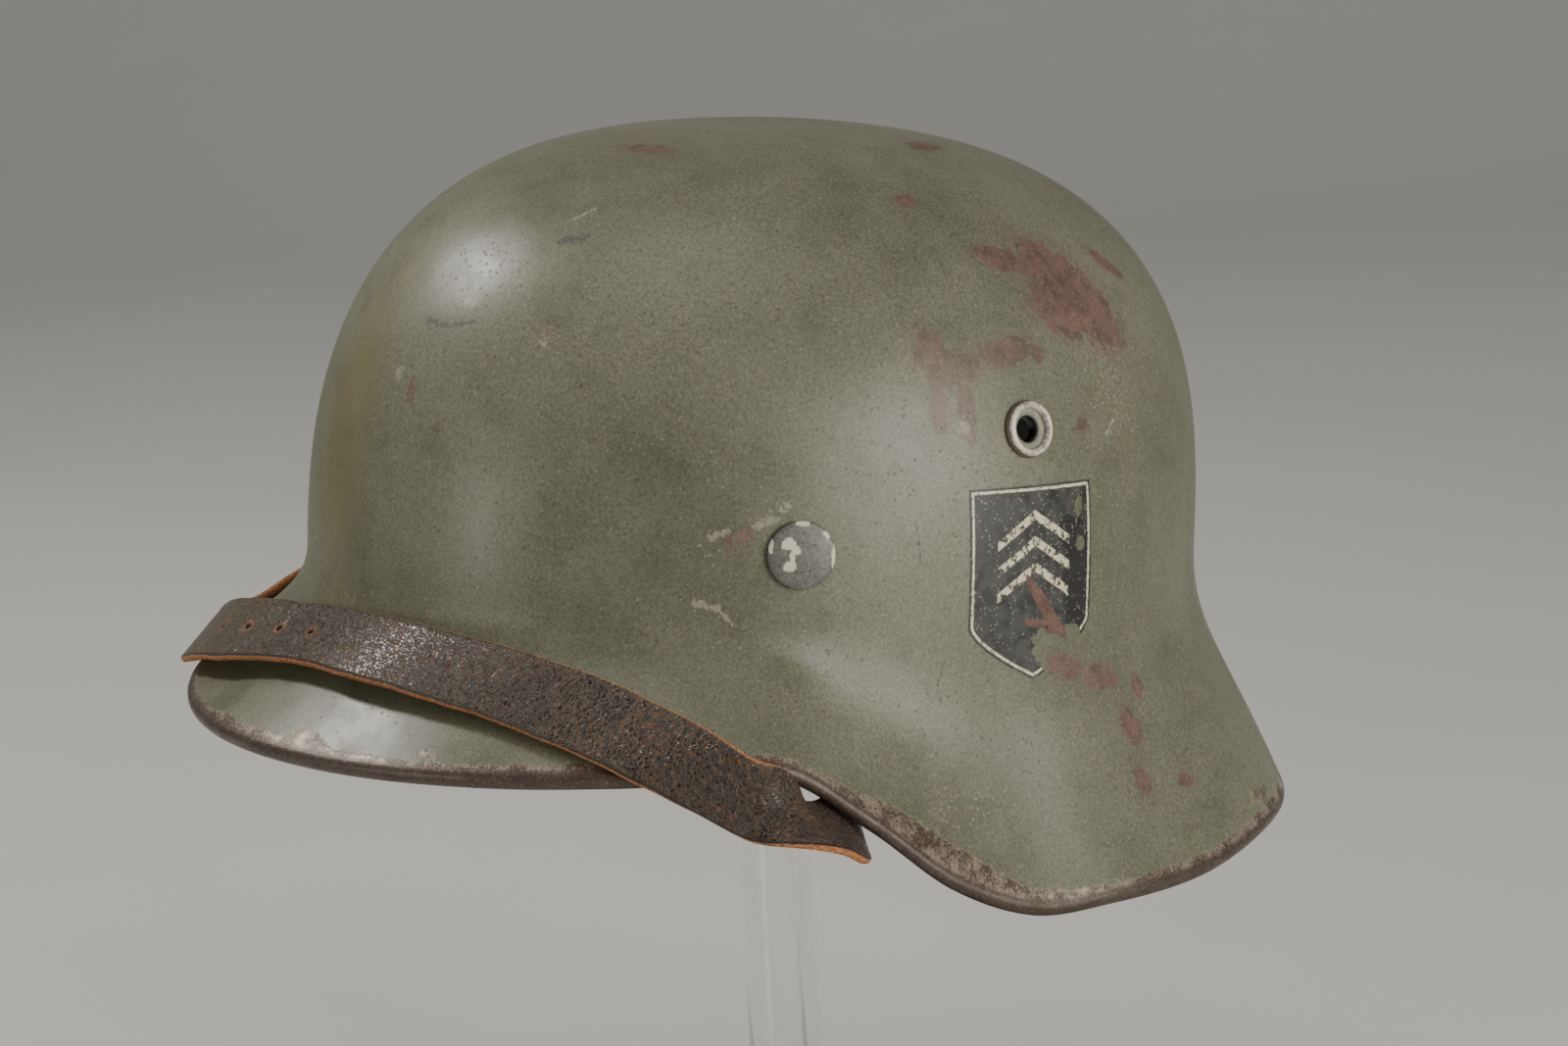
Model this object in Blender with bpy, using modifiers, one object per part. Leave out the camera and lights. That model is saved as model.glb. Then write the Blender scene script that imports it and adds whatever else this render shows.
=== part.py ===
"""Pressed steel police helmet with its leather chin strap, held up by a plain clear post stand.

World frame: +Z up, the visor faces -Y, the wearer's left is +X, and the origin is under the
middle of the stand's base. The helmet is built in a frame of its own, whose z = 0 is the waist,
the oval line where the crown ends and the flared skirt begins.
"""

import math

import bpy
import bmesh
import numpy as np
from mathutils import Matrix, Vector

# Driving dimensions, in metres and degrees

GAP = 0.0003                    # clearance between pieces that touch on the real object
CUTTER_REACH = 0.010            # how far a cutter runs past the face that it starts from
MERGE_DISTANCE = 0.00002        # points of a turned piece closer than this are one

WALL = 0.0012                   # pressed steel sheet
WAIST_FRONT = 0.1126            # waist oval: from the middle to the front
WAIST_REAR = 0.1160             # from the middle to the rear
WAIST_SIDE = 0.0973             # from the middle to each side
CROWN_HEIGHT = 0.1042           # waist to the top of the crown
SKIRT_REACH = 0.0310            # how far the visor's rim stands out from the waist
SKIRT_DROP = 0.0702             # how far the rim hangs below the waist at the neck guard
SKIRT_START = 0.35              # share of the drop that stays upright under the waist
SKIRT_END = 0.55                # share of the skirt that runs straight into the rim
ROLL_RADIUS = 0.0024            # outer radius of the rolled rim
ROLL_TURN = 195.0               # how far the sheet is rolled round

VENT_STATION = 104.5            # around the waist, 0 at the front
VENT_HEIGHT = 0.0409            # above the waist
VENT_RING_RADIUS = 0.0068
VENT_RING_RISE = 0.0019
VENT_BORE_RADIUS = 0.0027
VENT_MOUTH_RADIUS = 0.0046
VENT_SLEEVE_RADIUS = 0.0047
VENT_FLANGE_RADIUS = 0.0058
VENT_FLANGE_THICKNESS = 0.0008

SIDE_RIVET_STATION = 73.5
SIDE_RIVET_HEIGHT = 0.0151
REAR_RIVET_STATION = 180.0
REAR_RIVET_HEIGHT = 0.0190
RIVET_HEAD_RADIUS = 0.0080
RIVET_HEAD_EDGE = 0.0010        # thickness of the head at its edge
RIVET_HEAD_RISE = 0.0017        # thickness of the head in the middle
RIVET_SHANK_RADIUS = 0.0022
RIVET_TAIL_RADIUS = 0.0042
RIVET_TAIL_THICKNESS = 0.0010

HANGER_WIDTH = 0.0150
HANGER_THICKNESS = 0.0015
HANGER_CORNER = 0.0033          # radius of its rounded corners
HANGER_TOP = 0.0225             # above the waist
HANGER_BOTTOM = -0.0080
HANGER_SET_IN = 0.0012          # from the waist's inner wall to the plate
HANGER_PIN_HEIGHT = -0.0020
HANGER_PIN_RADIUS = 0.0020
HANGER_PIN_HEAD_RADIUS = 0.0036
HANGER_PIN_HEAD_THICKNESS = 0.0010

STRAP_WIDTH = 0.0185
STRAP_THICKNESS = 0.0022
STRAP_END = 0.0060              # from the pin's middle to the strap's end
STRAP_HOLE_RADIUS = 0.0009
STRAP_HOLE_PITCH = 0.0130
STRAP_HOLE_STATION = 8.0        # station of the first hole; the others follow to the right
STRAP_HOLE_COUNT = 4
STRAP_CUTTER_REACH = 0.006

HELMET_PITCH = 4.45             # the visor is tipped up on the stand
HELMET_SET_FORWARD = 0.00375    # from the post's axis to the middle of the waist oval
WAIST_ABOVE_GROUND = 0.190

BASE_RADIUS = 0.080
BASE_THICKNESS = 0.010
BASE_SOCKET_DEPTH = 0.006
BASE_EDGE = 0.0012
POST_RADIUS = 0.0100
POST_BORE_RADIUS = 0.0040
CAP_RADIUS = 0.030
CAP_EDGE = 0.0050               # thickness of the cap at its edge
CAP_DOME_RADIUS = 0.150
CAP_SPIGOT_LENGTH = 0.014

# Crown sections: exponents of the superellipse from the apex to the waist
CROWN = [
    # station, plan exponent, height exponent
    {"at": "front", "plan": 2.87, "rise": 2.42},
    {"at": "side", "plan": 2.77, "rise": 2.43},
    {"at": "rear", "plan": 2.51, "rise": 3.00},
]

# Skirt sections: reach as a share of SKIRT_REACH, drop as a share of SKIRT_DROP
SKIRT = [
    {"station": 0, "reach": 1.000, "drop": 0.527, "slope": 41.0},
    {"station": 20, "reach": 0.973, "drop": 0.517, "slope": 41.0},
    {"station": 40, "reach": 0.932, "drop": 0.487, "slope": 42.0},
    {"station": 55, "reach": 0.822, "drop": 0.464, "slope": 45.0},
    {"station": 70, "reach": 0.706, "drop": 0.446, "slope": 50.0},
    {"station": 80, "reach": 0.632, "drop": 0.639, "slope": 55.0},
    {"station": 90, "reach": 0.601, "drop": 0.872, "slope": 59.0},
    {"station": 100, "reach": 0.614, "drop": 0.998, "slope": 62.0},
    {"station": 110, "reach": 0.686, "drop": 1.000, "slope": 64.0},
    {"station": 125, "reach": 0.759, "drop": 0.986, "slope": 65.0},
    {"station": 140, "reach": 0.834, "drop": 0.930, "slope": 65.0},
    {"station": 160, "reach": 0.859, "drop": 0.925, "slope": 64.5},
    {"station": 180, "reach": 0.884, "drop": 0.920, "slope": 64.0},
]

# Strap sections over the visor: out and up from the rim as shares of STRAP_WIDTH,
# lean = the upper edge tips inward. Stations below 0 are on the wearer's right.
STRAP_FRONT = [
    {"station": -42, "out": 0.02, "up": 0.10, "lean": 34.0},
    {"station": -25, "out": -0.20, "up": 0.50, "lean": 38.0},
    {"station": -10, "out": -0.57, "up": 1.00, "lean": 42.0},
    {"station": 5, "out": -1.05, "up": 1.26, "lean": 50.0},
    {"station": 20, "out": -1.05, "up": 1.31, "lean": 50.0},
    {"station": 35, "out": -0.91, "up": 1.13, "lean": 42.0},
    {"station": 48, "out": -0.46, "up": 0.82, "lean": 33.0},
]

# Strap sections at each side, where it drops past the rim, turns and goes up inside
STRAP_SIDE = [
    {"station": 58.0, "out": -0.06, "up": 0.36, "lean": 21.0, "turn": 0.0},
    {"station": 66.0, "out": 0.27, "up": -0.22, "lean": -5.0, "turn": -6.0},
    {"station": 70.5, "out": 0.36, "up": -0.38, "lean": 39.0, "turn": 10.0},
    {"station": 74.0, "out": 0.23, "up": -0.41, "lean": 58.0, "turn": 26.0},
    {"station": 77.0, "out": -0.15, "up": -0.32, "lean": 38.0, "turn": 27.0},
    {"station": 79.4, "out": -0.66, "up": -0.04, "lean": -3.0, "turn": 18.0},
    {"station": 79.6, "out": -1.10, "up": 0.27, "lean": -44.0, "turn": 24.0},
    {"station": 77.2, "out": -1.40, "up": 0.61, "lean": -81.0, "turn": 40.0},
]

STATIONS_AROUND = 66
CROWN_ROWS = 11
SKIRT_ROWS = 7
ROLL_ROWS = 6
TURNED_STEPS = 20
STRAP_STEPS = 88


# Shape of the shell, in the helmet's frame

def column(table, name, scale=1.0):
    """One column of a table of sections, as an array."""
    return np.array([row[name] for row in table]) * scale


def hermite(knots, values, x):
    """Cubic through the values at the knots, with slopes taken from each knot's neighbours."""
    values = np.asarray(values, dtype=float)
    slopes = np.empty_like(values)
    span = (knots[2:] - knots[:-2]).reshape((-1,) + (1,) * (values.ndim - 1))
    slopes[1:-1] = (values[2:] - values[:-2]) / span
    slopes[0] = (values[1] - values[0]) / (knots[1] - knots[0])
    slopes[-1] = (values[-1] - values[-2]) / (knots[-1] - knots[-2])
    i = np.clip(np.searchsorted(knots, x, side="right") - 1, 0, len(knots) - 2)
    width = knots[i + 1] - knots[i]
    u = (x - knots[i]) / width
    if values.ndim > 1:
        u, width = u[:, None], width[:, None]
    return ((2 * u**3 - 3 * u**2 + 1) * values[i] + (u**3 - 2 * u**2 + u) * width * slopes[i]
            + (3 * u**2 - 2 * u**3) * values[i + 1] + (u**3 - u**2) * width * slopes[i + 1])


def around(name, station, scale=1.0):
    """A column of SKIRT read at any station in degrees, the two sides alike."""
    knots = column(SKIRT, "station")
    values = column(SKIRT, name, scale)
    knots = np.concatenate([-knots[2:0:-1], knots, 360.0 - knots[-2:-4:-1]])
    values = np.concatenate([values[2:0:-1], values, values[-2:-4:-1]])
    folded = np.abs((np.asarray(station, dtype=float) + 180.0) % 360.0 - 180.0)
    return hermite(knots, values, folded)


def waist(station):
    """Point of the waist oval and its outward direction, each an array of x and y."""
    angle = np.radians(station)
    half = np.where(np.cos(angle) > 0.0, WAIST_FRONT, WAIST_REAR)
    point = np.stack([WAIST_SIDE * np.sin(angle), -half * np.cos(angle)], axis=-1)
    outward = np.stack([np.sin(angle) / WAIST_SIDE, -np.cos(angle) / half], axis=-1)
    return point, outward / np.linalg.norm(outward, axis=-1, keepdims=True)


def crown_exponents(station):
    """Plan and rise exponents, turning smoothly from front to side to rear."""
    front, side, rear = CROWN
    angle = np.radians(station)
    to_front = 0.5 + 0.5 * np.cos(angle)
    to_side = np.sin(angle) ** 2
    return [(front[k] * to_front + rear[k] * (1 - to_front)) * (1 - to_side) + side[k] * to_side
            for k in ("plan", "rise")]


def crown_point(station, lift):
    """Outer face at a lift angle, 90 degrees at the apex and 0 at the waist."""
    plan, rise = crown_exponents(station)
    point, _ = waist(station)
    angle = np.radians(lift)
    share = np.cos(angle) ** (2 / plan)
    height = CROWN_HEIGHT * np.sin(angle) ** (2 / rise)
    return np.stack([point[..., 0] * share, point[..., 1] * share, height], axis=-1)


def rim_point(station):
    """Outermost point of the rolled rim at each station."""
    point, outward = waist(station)
    reach = around("reach", station, SKIRT_REACH)
    drop = around("drop", station, SKIRT_DROP)
    return np.concatenate([point + outward * reach[..., None], -drop[..., None]], axis=-1)


def skirt_profile(station):
    """Rows of (out, up) from the waist to the end of the roll: a Bezier curve, then an arc."""
    slope = np.radians(around("slope", station))
    reach = around("reach", station, SKIRT_REACH) - ROLL_RADIUS * np.cos(slope)
    drop = around("drop", station, SKIRT_DROP) - ROLL_RADIUS * np.sin(slope)
    length = np.hypot(reach, drop)
    along = np.stack([np.cos(slope), -np.sin(slope)])
    start = np.stack([0 * reach, 0 * reach])
    upright = np.stack([0 * reach, -SKIRT_START * drop])
    end = np.stack([reach, -drop])
    before_end = end - SKIRT_END * length * along
    rows = []
    for s in np.linspace(0, 1, SKIRT_ROWS + 1)[1:]:
        rows.append(start * (1 - s)**3 + 3 * upright * (1 - s)**2 * s
                    + 3 * before_end * (1 - s) * s**2 + end * s**3)
    face = np.stack([np.sin(slope), np.cos(slope)])
    middle = end - ROLL_RADIUS * face
    for turn in np.radians(np.linspace(0, ROLL_TURN, ROLL_ROWS + 1)[1:]):
        rows.append(middle + ROLL_RADIUS * (face * math.cos(turn) + along * math.sin(turn)))
    return rows


def shell_rows():
    """Outer face of the shell as rings of points, from below the apex to the end of the roll."""
    station = np.arange(STATIONS_AROUND) * 360.0 / STATIONS_AROUND - 180.0
    rings = [crown_point(station, 90.0 * (1 - i / CROWN_ROWS)) for i in range(1, CROWN_ROWS + 1)]
    point, outward = waist(station)
    for out, up in skirt_profile(station):
        rings.append(np.concatenate([point + outward * out[:, None], up[:, None]], axis=-1))
    return rings


def fitting_frame(station, height):
    """Frame on the crown's outer face: +Z points out of the shell, +X runs level to the rear."""
    _, rise = crown_exponents(station)
    lift = math.degrees(math.asin((height / CROWN_HEIGHT) ** (rise / 2)))
    here = crown_point(station, lift)
    step = 0.01
    across = crown_point(station + step, lift) - crown_point(station - step, lift)
    upward = crown_point(station, lift + step) - crown_point(station, lift - step)
    out = Vector(np.cross(across, upward)).normalized()
    level = Vector(across).normalized()
    rows = Matrix((level, out.cross(level), out)).transposed().to_4x4()
    return Matrix.Translation(Vector(here)) @ rows


# Blender helpers

def clear_scene():
    for item in list(bpy.data.objects):
        bpy.data.objects.remove(item, do_unlink=True)


def new_collection(name):
    collection = bpy.data.collections.new(name)
    bpy.context.scene.collection.children.link(collection)
    return collection


def material(name, color, roughness, metallic=0.0):
    made = bpy.data.materials.new(name)
    made.use_nodes = True
    shader = made.node_tree.nodes["Principled BSDF"]
    shader.inputs["Base Color"].default_value = (*color, 1.0)
    shader.inputs["Roughness"].default_value = roughness
    shader.inputs["Metallic"].default_value = metallic
    return made


def add_object(name, mesh, collection, finish=None, frame=Matrix.Identity(4), parent=None):
    """Link a new object with its place, its material and its parent."""
    made = bpy.data.objects.new(name, mesh)
    collection.objects.link(made)
    if finish is not None:
        mesh.materials.append(finish)
    if parent is not None:
        made.parent = parent
    made.matrix_local = frame
    return made


def mesh_from(name, points, faces):
    mesh = bpy.data.meshes.new(name)
    mesh.from_pydata([tuple(p) for p in points], [], faces)
    mesh.validate()
    mesh.update()
    return mesh


def smooth_shading(mesh, sharp_degrees=35.0):
    mesh.shade_smooth()
    mesh.set_sharp_from_angle(angle=math.radians(sharp_degrees))


def turned(name, profile, collection, closed=False, **placing):
    """A turned piece: the profile of (radius, height) runs top to bottom down the outer side."""
    mesh = bpy.data.meshes.new(name)
    edges = [(i, i + 1) for i in range(len(profile) - 1)]
    if closed:
        edges.append((len(profile) - 1, 0))
    mesh.from_pydata([(r, 0.0, z) for r, z in profile], edges, [])
    made = add_object(name, mesh, collection, **placing)
    screw = made.modifiers.new("turn", "SCREW")
    screw.axis = "Z"
    screw.steps = TURNED_STEPS
    screw.render_steps = TURNED_STEPS
    screw.use_merge_vertices = True
    screw.merge_threshold = MERGE_DISTANCE
    screw.use_smooth_shade = True
    return made


def cylinder(name, radius, low, high, collection, sides=TURNED_STEPS, **placing):
    """A capped cylinder along the local Z axis from low to high."""
    mesh = bpy.data.meshes.new(name)
    shape = bmesh.new()
    bmesh.ops.create_cone(shape, cap_ends=True, segments=sides, radius1=radius,
                          radius2=radius, depth=high - low,
                          matrix=Matrix.Translation((0, 0, (low + high) / 2)))
    shape.to_mesh(mesh)
    shape.free()
    smooth_shading(mesh)
    return add_object(name, mesh, collection, **placing)


def as_cutter(piece):
    piece.hide_render = True
    piece.display_type = "WIRE"
    return piece


def boolean(piece, other, operation):
    step = piece.modifiers.new(other.name, "BOOLEAN")
    step.operation = operation
    step.solver = "EXACT"
    step.object = other
    return step


# The pieces

def build_shell(parts, helmet, finish):
    """Crown, flared skirt and rolled rim pressed from one sheet."""
    rings = shell_rows()
    count = STATIONS_AROUND
    points = [(0.0, 0.0, CROWN_HEIGHT)]
    for ring in rings:
        points.extend(ring)
    faces = []
    for j in range(count):
        faces.append((0, 1 + j, 1 + (j + 1) % count))
    for i in range(len(rings) - 1):
        upper, lower = 1 + i * count, 1 + (i + 1) * count
        for j in range(count):
            k = (j + 1) % count
            faces.append((upper + j, lower + j, lower + k, upper + k))
    mesh = mesh_from("shell", points, faces)
    smooth_shading(mesh)
    shell = add_object("shell", mesh, parts, finish=finish, parent=helmet)
    wall = shell.modifiers.new("wall", "SOLIDIFY")
    wall.thickness = WALL
    wall.offset = -1.0
    wall.use_even_offset = True
    return shell


def build_vent(side, sign, shell, parts, cutters, helmet, finish):
    """Vent bushing: a rounded ring outside, a sleeve through the sheet and a flange inside."""
    frame = fitting_frame(sign * VENT_STATION, VENT_HEIGHT)
    hole = cylinder(f"cut_vent_{side}", VENT_SLEEVE_RADIUS + GAP, -CUTTER_REACH,
                    CUTTER_REACH, cutters, frame=frame, parent=helmet)
    boolean(shell, as_cutter(hole), "DIFFERENCE")
    ring_middle = (VENT_RING_RADIUS + VENT_MOUTH_RADIUS) / 2
    inner_seat = -WALL - 2 * GAP
    ring = []
    for turn in np.radians(np.linspace(180, 0, 7)):
        ring.append((ring_middle + (VENT_RING_RADIUS - ring_middle) * math.cos(turn),
                     GAP + VENT_RING_RISE * math.sin(turn)))
    profile = [
        (VENT_BORE_RADIUS, inner_seat - VENT_FLANGE_THICKNESS),
        (VENT_BORE_RADIUS, -WALL / 2),
        (VENT_MOUTH_RADIUS - GAP, GAP),
        *ring,
        (VENT_SLEEVE_RADIUS, GAP),
        (VENT_SLEEVE_RADIUS, inner_seat),
        (VENT_FLANGE_RADIUS, inner_seat),
        (VENT_FLANGE_RADIUS, inner_seat - VENT_FLANGE_THICKNESS),
    ]
    return turned(f"vent_bushing_{side}", profile, parts, closed=True, finish=finish,
                  frame=frame, parent=helmet)


def build_rivet(side, station, height, behind, shell, parts, cutters, helmet, finish):
    """Low domed head outside, shank through the sheet, and a plain tail behind what it holds."""
    frame = fitting_frame(station, height)
    hole = cylinder(f"cut_rivet_{side}", RIVET_SHANK_RADIUS + GAP, -CUTTER_REACH,
                    CUTTER_REACH, cutters, frame=frame, parent=helmet)
    boolean(shell, as_cutter(hole), "DIFFERENCE")
    tail = -WALL - behind - 2 * GAP
    dome = []
    for share in (0.0, 0.35, 0.7, 0.93):
        drop = (RIVET_HEAD_RISE - RIVET_HEAD_EDGE) * share**2
        dome.append((RIVET_HEAD_RADIUS * share, GAP + RIVET_HEAD_RISE - drop))
    profile = [
        *dome,
        (RIVET_HEAD_RADIUS, GAP + RIVET_HEAD_EDGE * 0.7),
        (RIVET_HEAD_RADIUS, GAP),
        (RIVET_SHANK_RADIUS, GAP),
        (RIVET_SHANK_RADIUS, tail),
        (RIVET_TAIL_RADIUS, tail),
        (RIVET_TAIL_RADIUS, tail - RIVET_TAIL_THICKNESS * 0.6),
        (RIVET_TAIL_RADIUS * 0.7, tail - RIVET_TAIL_THICKNESS),
        (0.0, tail - RIVET_TAIL_THICKNESS),
    ]
    turned(f"rivet_{side}", profile, parts, finish=finish, frame=frame, parent=helmet)
    return hole


def hanger_frame(sign):
    """Frame of a strap hanger: +Z points out level, +Y is up, at the waist's inner wall."""
    point, outward = waist(sign * SIDE_RIVET_STATION)
    out = Vector((outward[0], outward[1], 0.0))
    up = Vector((0.0, 0.0, 1.0))
    place = Vector((point[0], point[1], 0.0)) - out * (WALL + HANGER_SET_IN)
    rows = Matrix((up.cross(out), up, out)).transposed().to_4x4()
    return Matrix.Translation(place) @ rows


def hanger_pin_depth():
    """From the plate's outer face to the pin's head, past the strap."""
    return HANGER_THICKNESS + STRAP_THICKNESS + 2.0 * GAP


def build_hanger(side, sign, rivet_hole, parts, cutters, helmet, finish):
    """Plate behind the side rivet, with a headed pin that carries the strap's end."""
    frame = hanger_frame(sign)
    mesh = bpy.data.meshes.new(f"strap_hanger_{side}")
    shape = bmesh.new()
    height = HANGER_TOP - HANGER_BOTTOM
    middle = Vector((0.0, (HANGER_TOP + HANGER_BOTTOM) / 2, -HANGER_THICKNESS / 2))
    size = Matrix.Diagonal((HANGER_WIDTH, height, HANGER_THICKNESS, 1.0))
    bmesh.ops.create_cube(shape, size=1.0, matrix=Matrix.Translation(middle) @ size)
    upright = [e for e in shape.edges
               if abs((e.verts[0].co - e.verts[1].co).z) > HANGER_THICKNESS / 2]
    bmesh.ops.bevel(shape, geom=upright, offset=HANGER_CORNER, segments=3,
                    affect="EDGES")
    shape.to_mesh(mesh)
    shape.free()
    hanger = add_object(f"strap_hanger_{side}", mesh, parts, finish=finish, frame=frame,
                        parent=helmet)
    pin_place = frame @ Matrix.Translation((0.0, HANGER_PIN_HEIGHT, 0.0))
    depth = hanger_pin_depth()
    pin_profile = [
        (0.0, -HANGER_THICKNESS / 2),
        (HANGER_PIN_RADIUS, -HANGER_THICKNESS / 2),
        (HANGER_PIN_RADIUS, -depth),
        (HANGER_PIN_HEAD_RADIUS, -depth),
        (HANGER_PIN_HEAD_RADIUS, -depth - HANGER_PIN_HEAD_THICKNESS),
        (0.0, -depth - HANGER_PIN_HEAD_THICKNESS),
    ]
    pin = turned(f"join_pin_{side}", pin_profile, cutters, frame=pin_place, parent=helmet)
    boolean(hanger, as_cutter(pin), "UNION")
    boolean(hanger, rivet_hole, "DIFFERENCE")
    return hanger


def strap_sections():
    """Middle points and across directions of the strap, from the left hanger to the right."""
    def placed(row, station, turn):
        point, outward = waist(station)
        out = np.array([*outward, 0.0])
        up = np.array([0.0, 0.0, 1.0])
        forward = -np.sign(station) * np.cross(up, out)
        rim = rim_point(np.array([station]))[0]
        middle = rim + STRAP_WIDTH * (row["out"] * out + row["up"] * up)
        lean = math.radians(row["lean"])
        upright = math.cos(lean) * up - math.sin(lean) * out
        return middle, math.cos(turn) * upright + math.sin(turn) * forward

    def at_hanger(sign, height):
        frame = hanger_frame(sign)
        depth = HANGER_THICKNESS + GAP + STRAP_THICKNESS / 2
        middle = frame @ Vector((0.0, height, -depth))
        across = frame.to_3x3() @ Vector((-sign, 0.0, 0.0))
        return np.array(middle), np.array(across)

    def side(sign):
        ends = [at_hanger(sign, HANGER_PIN_HEIGHT + STRAP_END),
                at_hanger(sign, HANGER_PIN_HEIGHT),
                at_hanger(sign, HANGER_PIN_HEIGHT - STRAP_END)]
        rows = [placed(row, sign * row["station"], math.radians(row["turn"]))
                for row in reversed(STRAP_SIDE)]
        return ends + rows

    front = [placed(row, row["station"], 0.0) for row in reversed(STRAP_FRONT)]
    return side(1.0) + front + side(-1.0)[::-1]


def strap_path(steps):
    """Even steps along the strap: middle points, across directions, and distance along it."""
    sections = strap_sections()
    middle = np.array([s[0] for s in sections])
    across = np.array([s[1] for s in sections])
    knots = np.concatenate([[0.0], np.cumsum(np.linalg.norm(np.diff(middle, axis=0), axis=1))])
    fine = np.linspace(0.0, knots[-1], steps * 8 + 1)
    points = hermite(knots, middle, fine)
    along = np.concatenate([[0.0], np.cumsum(np.linalg.norm(np.diff(points, axis=0), axis=1))])
    even = np.interp(np.linspace(0.0, along[-1], steps + 1), along, fine)
    points = hermite(knots, middle, even)
    across = hermite(knots, across, even)
    heading = np.gradient(points, axis=0)
    heading /= np.linalg.norm(heading, axis=1, keepdims=True)
    across -= heading * np.sum(across * heading, axis=1, keepdims=True)
    across /= np.linalg.norm(across, axis=1, keepdims=True)
    return points, across, heading, np.linspace(0.0, along[-1], steps + 1)


def strap_frame(distance):
    """Frame on the strap's middle at a distance along it: +Z is square to its face."""
    points, across, heading, along = strap_path(STRAP_STEPS)
    i = int(np.argmin(np.abs(along - distance)))
    x, y = Vector(heading[i]), Vector(across[i])
    rows = Matrix((x, y, x.cross(y))).transposed().to_4x4()
    place = Vector([np.interp(distance, along, points[:, k]) for k in range(3)])
    return Matrix.Translation(place) @ rows


def build_strap(parts, cutters, helmet, finish):
    """Chin strap: one leather band from hanger to hanger, laid over the visor."""
    points, across, _, along = strap_path(STRAP_STEPS)
    offsets = (-0.5, 0.0, 0.5)
    width = len(offsets)
    grid = [p + a * STRAP_WIDTH * v for p, a in zip(points, across) for v in offsets]
    faces = []
    for i in range(len(points) - 1):
        for j in range(width - 1):
            low = i * width + j
            faces.append((low, low + width, low + width + 1, low + 1))
    mesh = mesh_from("chin_strap", grid, faces)
    smooth_shading(mesh)
    strap = add_object("chin_strap", mesh, parts, finish=finish, parent=helmet)
    wall = strap.modifiers.new("leather", "SOLIDIFY")
    wall.thickness = STRAP_THICKNESS
    wall.offset = 0.0

    def punch(name, frame, radius):
        cutter = cylinder(name, radius, -STRAP_CUTTER_REACH, STRAP_CUTTER_REACH, cutters,
                          sides=12, frame=frame, parent=helmet)
        boolean(strap, as_cutter(cutter), "DIFFERENCE")

    station = np.degrees(np.arctan2(points[:, 0] / WAIST_SIDE, -points[:, 1] / WAIST_FRONT))
    first = along[int(np.argmin(np.abs(station - STRAP_HOLE_STATION)))]
    for i in range(STRAP_HOLE_COUNT):
        place = first + i * STRAP_HOLE_PITCH
        punch(f"cut_strap_hole_{i + 1}", strap_frame(place), STRAP_HOLE_RADIUS)
    for side, sign in (("left", 1.0), ("right", -1.0)):
        depth = HANGER_THICKNESS + GAP + STRAP_THICKNESS / 2
        frame = hanger_frame(sign) @ Matrix.Translation((0.0, HANGER_PIN_HEIGHT, -depth))
        punch(f"cut_strap_end_{side}", frame, HANGER_PIN_RADIUS + GAP)
    return strap


def cap_top_height(helmet):
    """Height of the cap's dome at which it meets the inside of the crown with the small gap."""
    station = np.arange(-180.0, 180.0, 5.0)
    low = np.inf
    for lift in np.linspace(89.5, 55.0, 30):
        for point in crown_point(station, lift):
            inside = helmet.matrix_basis @ (Vector(point) - Vector((0.0, 0.0, WALL)))
            radius = math.hypot(inside.x, inside.y)
            if radius <= CAP_RADIUS:
                low = min(low, inside.z + dome_drop(radius))
    return low - GAP


def dome_drop(radius):
    """How far the cap's dome lies below its middle at a radius."""
    return CAP_DOME_RADIUS - math.sqrt(CAP_DOME_RADIUS**2 - radius**2)


def build_stand(parts, cutters, helmet, finish):
    """Clear stand: a round base, a tube post seated in it, and a domed cap under the crown."""
    base_profile = [
        (0.0, BASE_THICKNESS),
        (BASE_RADIUS - BASE_EDGE, BASE_THICKNESS),
        (BASE_RADIUS, BASE_THICKNESS - BASE_EDGE),
        (BASE_RADIUS, 0.0),
        (0.0, 0.0),
    ]
    base = turned("stand_base", base_profile, parts, finish=finish)
    base.modifiers["turn"].steps = base.modifiers["turn"].render_steps = 2 * TURNED_STEPS
    socket_floor = BASE_THICKNESS - BASE_SOCKET_DEPTH
    socket = cylinder("cut_base_socket", POST_RADIUS + GAP, socket_floor,
                      BASE_THICKNESS + CUTTER_REACH, cutters)
    boolean(base, as_cutter(socket), "DIFFERENCE")

    top = cap_top_height(helmet)
    cap_under = top - dome_drop(CAP_RADIUS) - CAP_EDGE
    post_bottom = socket_floor + GAP
    post_top = cap_under - GAP
    post_profile = [
        (POST_BORE_RADIUS, post_top),
        (POST_RADIUS, post_top),
        (POST_RADIUS, post_bottom),
        (POST_BORE_RADIUS, post_bottom),
    ]
    turned("stand_post", post_profile, parts, closed=True, finish=finish)

    dome = [(CAP_RADIUS * share, top - dome_drop(CAP_RADIUS * share))
            for share in (0.0, 0.25, 0.5, 0.75, 1.0)]
    cap_profile = [
        *dome,
        (CAP_RADIUS, cap_under),
        (POST_BORE_RADIUS - GAP, cap_under),
        (POST_BORE_RADIUS - GAP, cap_under - CAP_SPIGOT_LENGTH),
        (0.0, cap_under - CAP_SPIGOT_LENGTH),
    ]
    turned("stand_cap", cap_profile, parts, finish=finish)


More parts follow.
